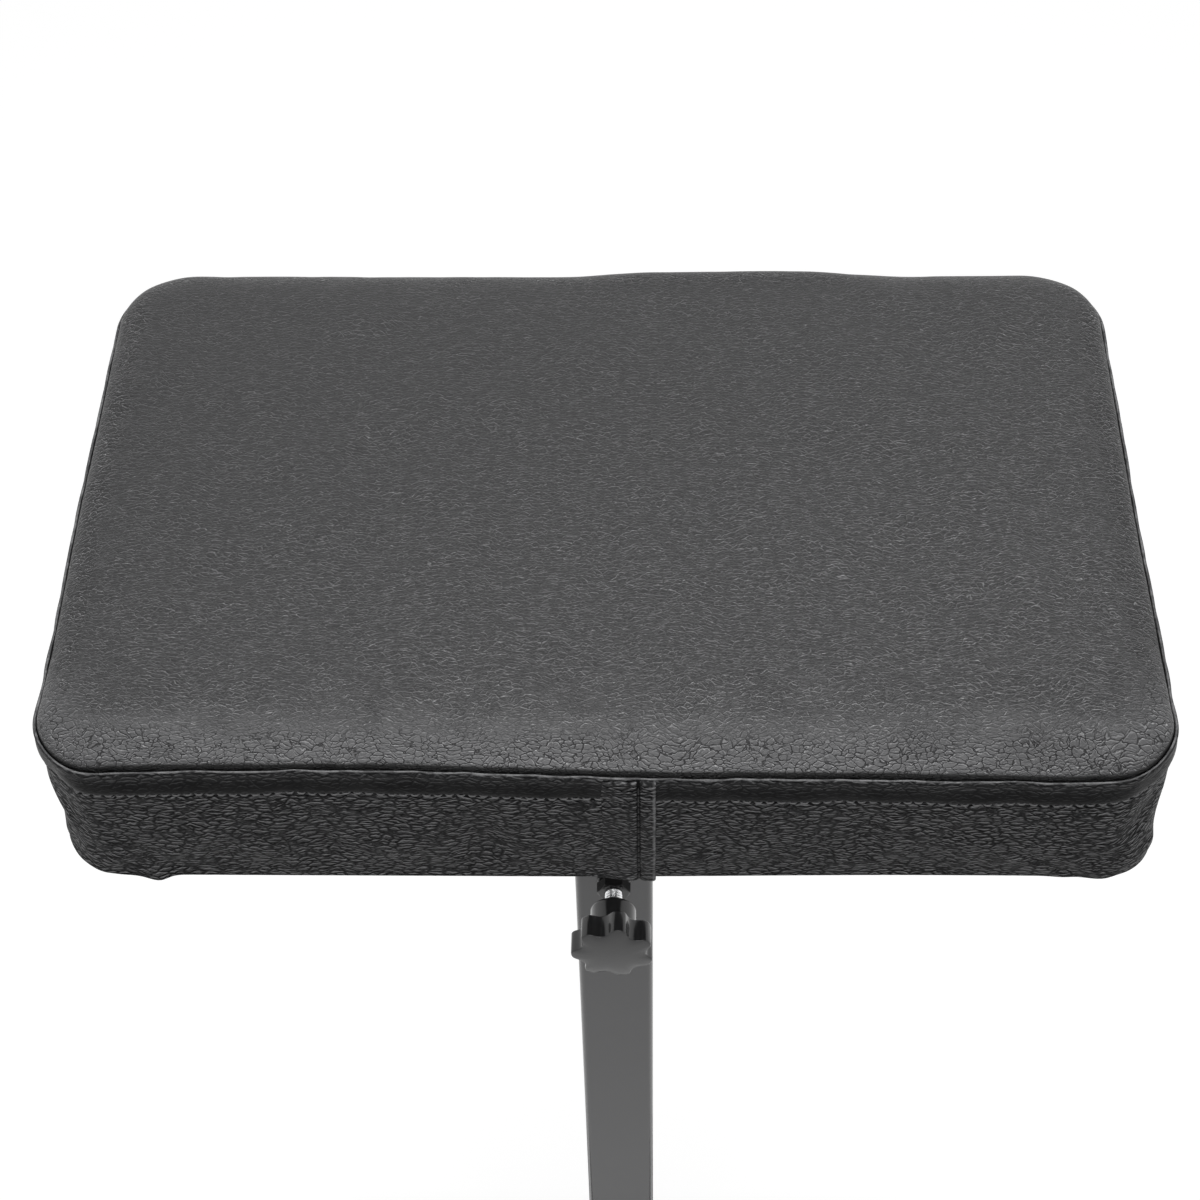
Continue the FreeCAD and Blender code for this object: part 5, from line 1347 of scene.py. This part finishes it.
def make_knob(name, node, body, start, ahead, across, valley_angle, bores):
    """A star knob from its hub's end at start, along ahead, in place of a CAD node.

    valley_angle turns a valley from across. Bores are (radius, depth), the widest first."""
    start, ahead, across = Vector(start), Vector(ahead), Vector(across)
    side = ahead.cross(across)
    outline = knob_outline()
    low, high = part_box(node)
    length = abs((high - low).dot(ahead))
    back = length - KNOB_STAR_THICK
    # Rows of (how far along, radius), from the bore's end over the hub, the back and the face
    rows = [(bores[-1][1], 0.0002)]
    for i in reversed(range(len(bores))):
        radius, depth = bores[i]
        mouth = bores[i - 1][1] if i else 0.0004
        rows += [(depth, radius), (mouth, radius)]
    rows.append((0.0, bores[0][0] + 0.0004))
    for angle in quarter_turn(6):
        reach = KNOB_HUB_RADIUS - KNOB_HUB_ROUND * (1 - math.sin(angle))
        rows.append((KNOB_HUB_ROUND * (1 - math.cos(angle)), reach))
    rows += [(back - 0.0012, KNOB_HUB_RADIUS), (back - 0.0003, KNOB_HUB_RADIUS + 0.0002)]
    rows += [(back, KNOB_HUB_RADIUS + 0.0009), (back, outline - KNOB_BACK_ROUND - 0.0010)]
    for angle in quarter_turn(3):
        inset = KNOB_BACK_ROUND * (1 - math.sin(angle))
        rows.append((back + KNOB_BACK_ROUND * (1 - math.cos(angle)), outline - inset))
    face = outline - KNOB_FACE_ROUND

    def face_drop(share):
        """How far the face lies behind its middle, this share of the way out to its rim."""
        return KNOB_DOME * (face * share / KNOB_RADIUS) ** 2 + KNOB_SHOULDER * share**7

    for angle in quarter_turn(6):
        drop = face_drop(1.0) + KNOB_FACE_ROUND * (1 - math.sin(angle))
        rows.append((length - drop, outline - KNOB_FACE_ROUND * (1 - math.cos(angle))))
    for share in (0.985, 0.96, 0.93, 0.89, 0.84, 0.78, 0.70, 0.60, 0.48, 0.35, 0.2, 0.05):
        rows.append((length - face_drop(share), face * share))
    turns = TURN / 4 + math.radians(valley_angle) + TURN * np.arange(KNOB_STEPS) / KNOB_STEPS
    spokes = [across * math.cos(turn) + side * math.sin(turn) for turn in turns]
    vertices = []
    for row in rows:
        lengths, radii = (np.broadcast_to(value, KNOB_STEPS) for value in row)
        for spoke, along, radius in zip(spokes, lengths, radii):
            vertices.append(start + ahead * float(along) + spoke * float(radius))
    faces = grid_faces(len(rows), KNOB_STEPS, closed=True, capped=True, flip=True)
    obj = make_object(name, vertices, faces)
    finish_piece(obj, body, FINISHES["knob_plastic"])
    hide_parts(node)


def make_knobs():
    hub_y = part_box("clamp_knob")[1].y
    make_knob(
        "clamp_star_knob", "clamp_knob", "clamp_screw",
        (0, hub_y, STUD_Z), (0, -1, 0), (1, 0, 0), 16, ((0.00405, 0.015),),
    )
    hub_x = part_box("lock_knob")[0].x
    lock_z = sum(corner.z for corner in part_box("lock_knob_insert")) / 2
    make_knob(
        "lock_star_knob", "lock_knob", "lock_nut",
        (hub_x, 0, lock_z), (1, 0, 0), (0, 0, -1), 8, ((0.00625, 0.014), (0.00410, 0.017)),
    )


make_knobs()


# Weld beads
BEAD_STEP = 0.0005
BEAD_WAVE = 0.0019
BEAD_RISE = 0.0004
COLUMN_HALF = 0.0175
PLATE_TOP = 0.045
BRACKET_UNDER = 0.8456
ALONG_X, ALONG_Y, ALONG_Z = (1, 0, 0), (0, 1, 0), (0, 0, 1)


def bead(pile, start, end, radius, normal):
    """A rippled bead along a straight run."""
    start, end = Vector(start), Vector(end)
    steps = max(2, int((end - start).length / BEAD_STEP))
    points = [start.lerp(end, i / steps) for i in range(steps)] + [end]
    radii = []
    for i, point in enumerate(points):
        wave = 0.14 * math.sin(TURN * i * BEAD_STEP / BEAD_WAVE)
        blob = 0.22 * noise.noise(point * 260)
        ending = min(1.0, 0.45 + 0.2 * min(i, len(points) - 1 - i))
        radii.append(radius * (1 + wave + blob) * ending)
    pile.tube(points, radii, sides=9, normal=normal)


def make_welds():
    stand = Pile()
    level = PLATE_TOP + BEAD_RISE
    for sign in (-1, 1):
        # Column to its foot plate, in four runs, and the two ribs
        half = sign * COLUMN_HALF
        bead(stand, (half, -0.0150, level), (half, 0.0150, level), 0.0021, ALONG_Z)
        for side in (-1, 1):
            start, rib = side * 0.0030, side * 0.0021
            bead(stand, (start, half, level), (side * 0.0150, half, level), 0.0021, ALONG_Z)
            bead(stand, (rib, sign * 0.0180, level), (rib, sign * 0.0385, level), 0.0014, ALONG_Z)
            bead(stand, (rib, half, 0.0470), (rib, half, 0.0855), 0.0014, ALONG_Y)
        # Centre beam to the cross beams
        joint = sign * 0.0900
        bead(stand, (-0.0235, joint, 0.0405), (0.0235, joint, 0.0405), 0.0016, ALONG_Z)
        for edge in (-0.0251, 0.0251):
            bead(stand, (edge, joint, 0.0180), (edge, joint, 0.0400), 0.0018, ALONG_X)
        # The clamp's nut
        flat = (sign * 0.0066, -COLUMN_HALF)
        bead(stand, (*flat, STUD_Z - 0.0032), (*flat, STUD_Z + 0.0032), 0.0010, ALONG_Y)
    finish_piece(stand.build("stand_welds"), "stand", weld)

    head = Pile()
    under = BRACKET_UNDER
    for sign in (-1, 1):
        x, y = sign * 0.0166, sign * 0.0361
        bead(head, (x, -0.0330, under), (x, 0.0330, under), 0.0015, ALONG_Z)
        bead(head, (-0.0125, y, under), (0.0125, y, under), 0.0015, ALONG_Z)
    finish_piece(head.build("head_welds"), "head", weld)


make_welds()


# Stage and light
FLOOR_HALF = 5.0
FLOOR_STEPS = 20
AMBIENT = 0.22
PAD_MIDDLE = (0, 0, 0.92)


def make_stage():
    line = np.linspace(-FLOOR_HALF, FLOOR_HALF, FLOOR_STEPS + 1)
    points = [(x, y, 0.0) for y in line for x in line]
    faces = grid_faces(FLOOR_STEPS + 1, FLOOR_STEPS + 1, flip=True)
    floor = make_object("studio_floor", points, faces)
    floor.data.materials.append(floor_finish())


def make_lamp(name, place, size, radiance):
    """A rectangular softbox aimed at the pad. Its power follows from how bright its face is,
    where 1 is white."""
    data = bpy.data.lights.new(name, "AREA")
    data.shape = "RECTANGLE"
    data.size, data.size_y = size
    data.energy = radiance * math.pi * size[0] * size[1]
    lamp = bpy.data.objects.new(name, data)
    bpy.context.scene.collection.objects.link(lamp)
    lamp.location = place
    aim = Vector(PAD_MIDDLE) - Vector(place)
    lamp.rotation_euler = aim.to_track_quat("-Z", "Y").to_euler()
    lamp.visible_camera = False


def make_world():
    """White where it is seen directly, and a dim even light on everything else."""
    world = bpy.data.worlds.new("studio")
    bpy.context.scene.world = world
    f = Finish("studio", world)
    ambient = f.add("Background", {"Color": (1, 1, 1, 1), "Strength": AMBIENT})
    seen = f.add("Background", {"Color": (1, 1, 1, 1), "Strength": 1})
    f.end(f.add("MixShader", {0: seen_directly(f), 1: ambient.outputs[0], 2: seen.outputs[0]}))


make_stage()
make_lamp("back_softbox", (0.1, 1.9, 2.8), (2.6, 1.6), 0.6)
make_lamp("top_softbox", (-0.1, -0.05, 3.0), (1.8, 1.3), 3.4)
make_lamp("front_softbox", (0.2, -1.7, 2.9), (1.8, 1.0), 3.2)
make_world()

bpy.context.scene.view_settings.view_transform = "Standard"
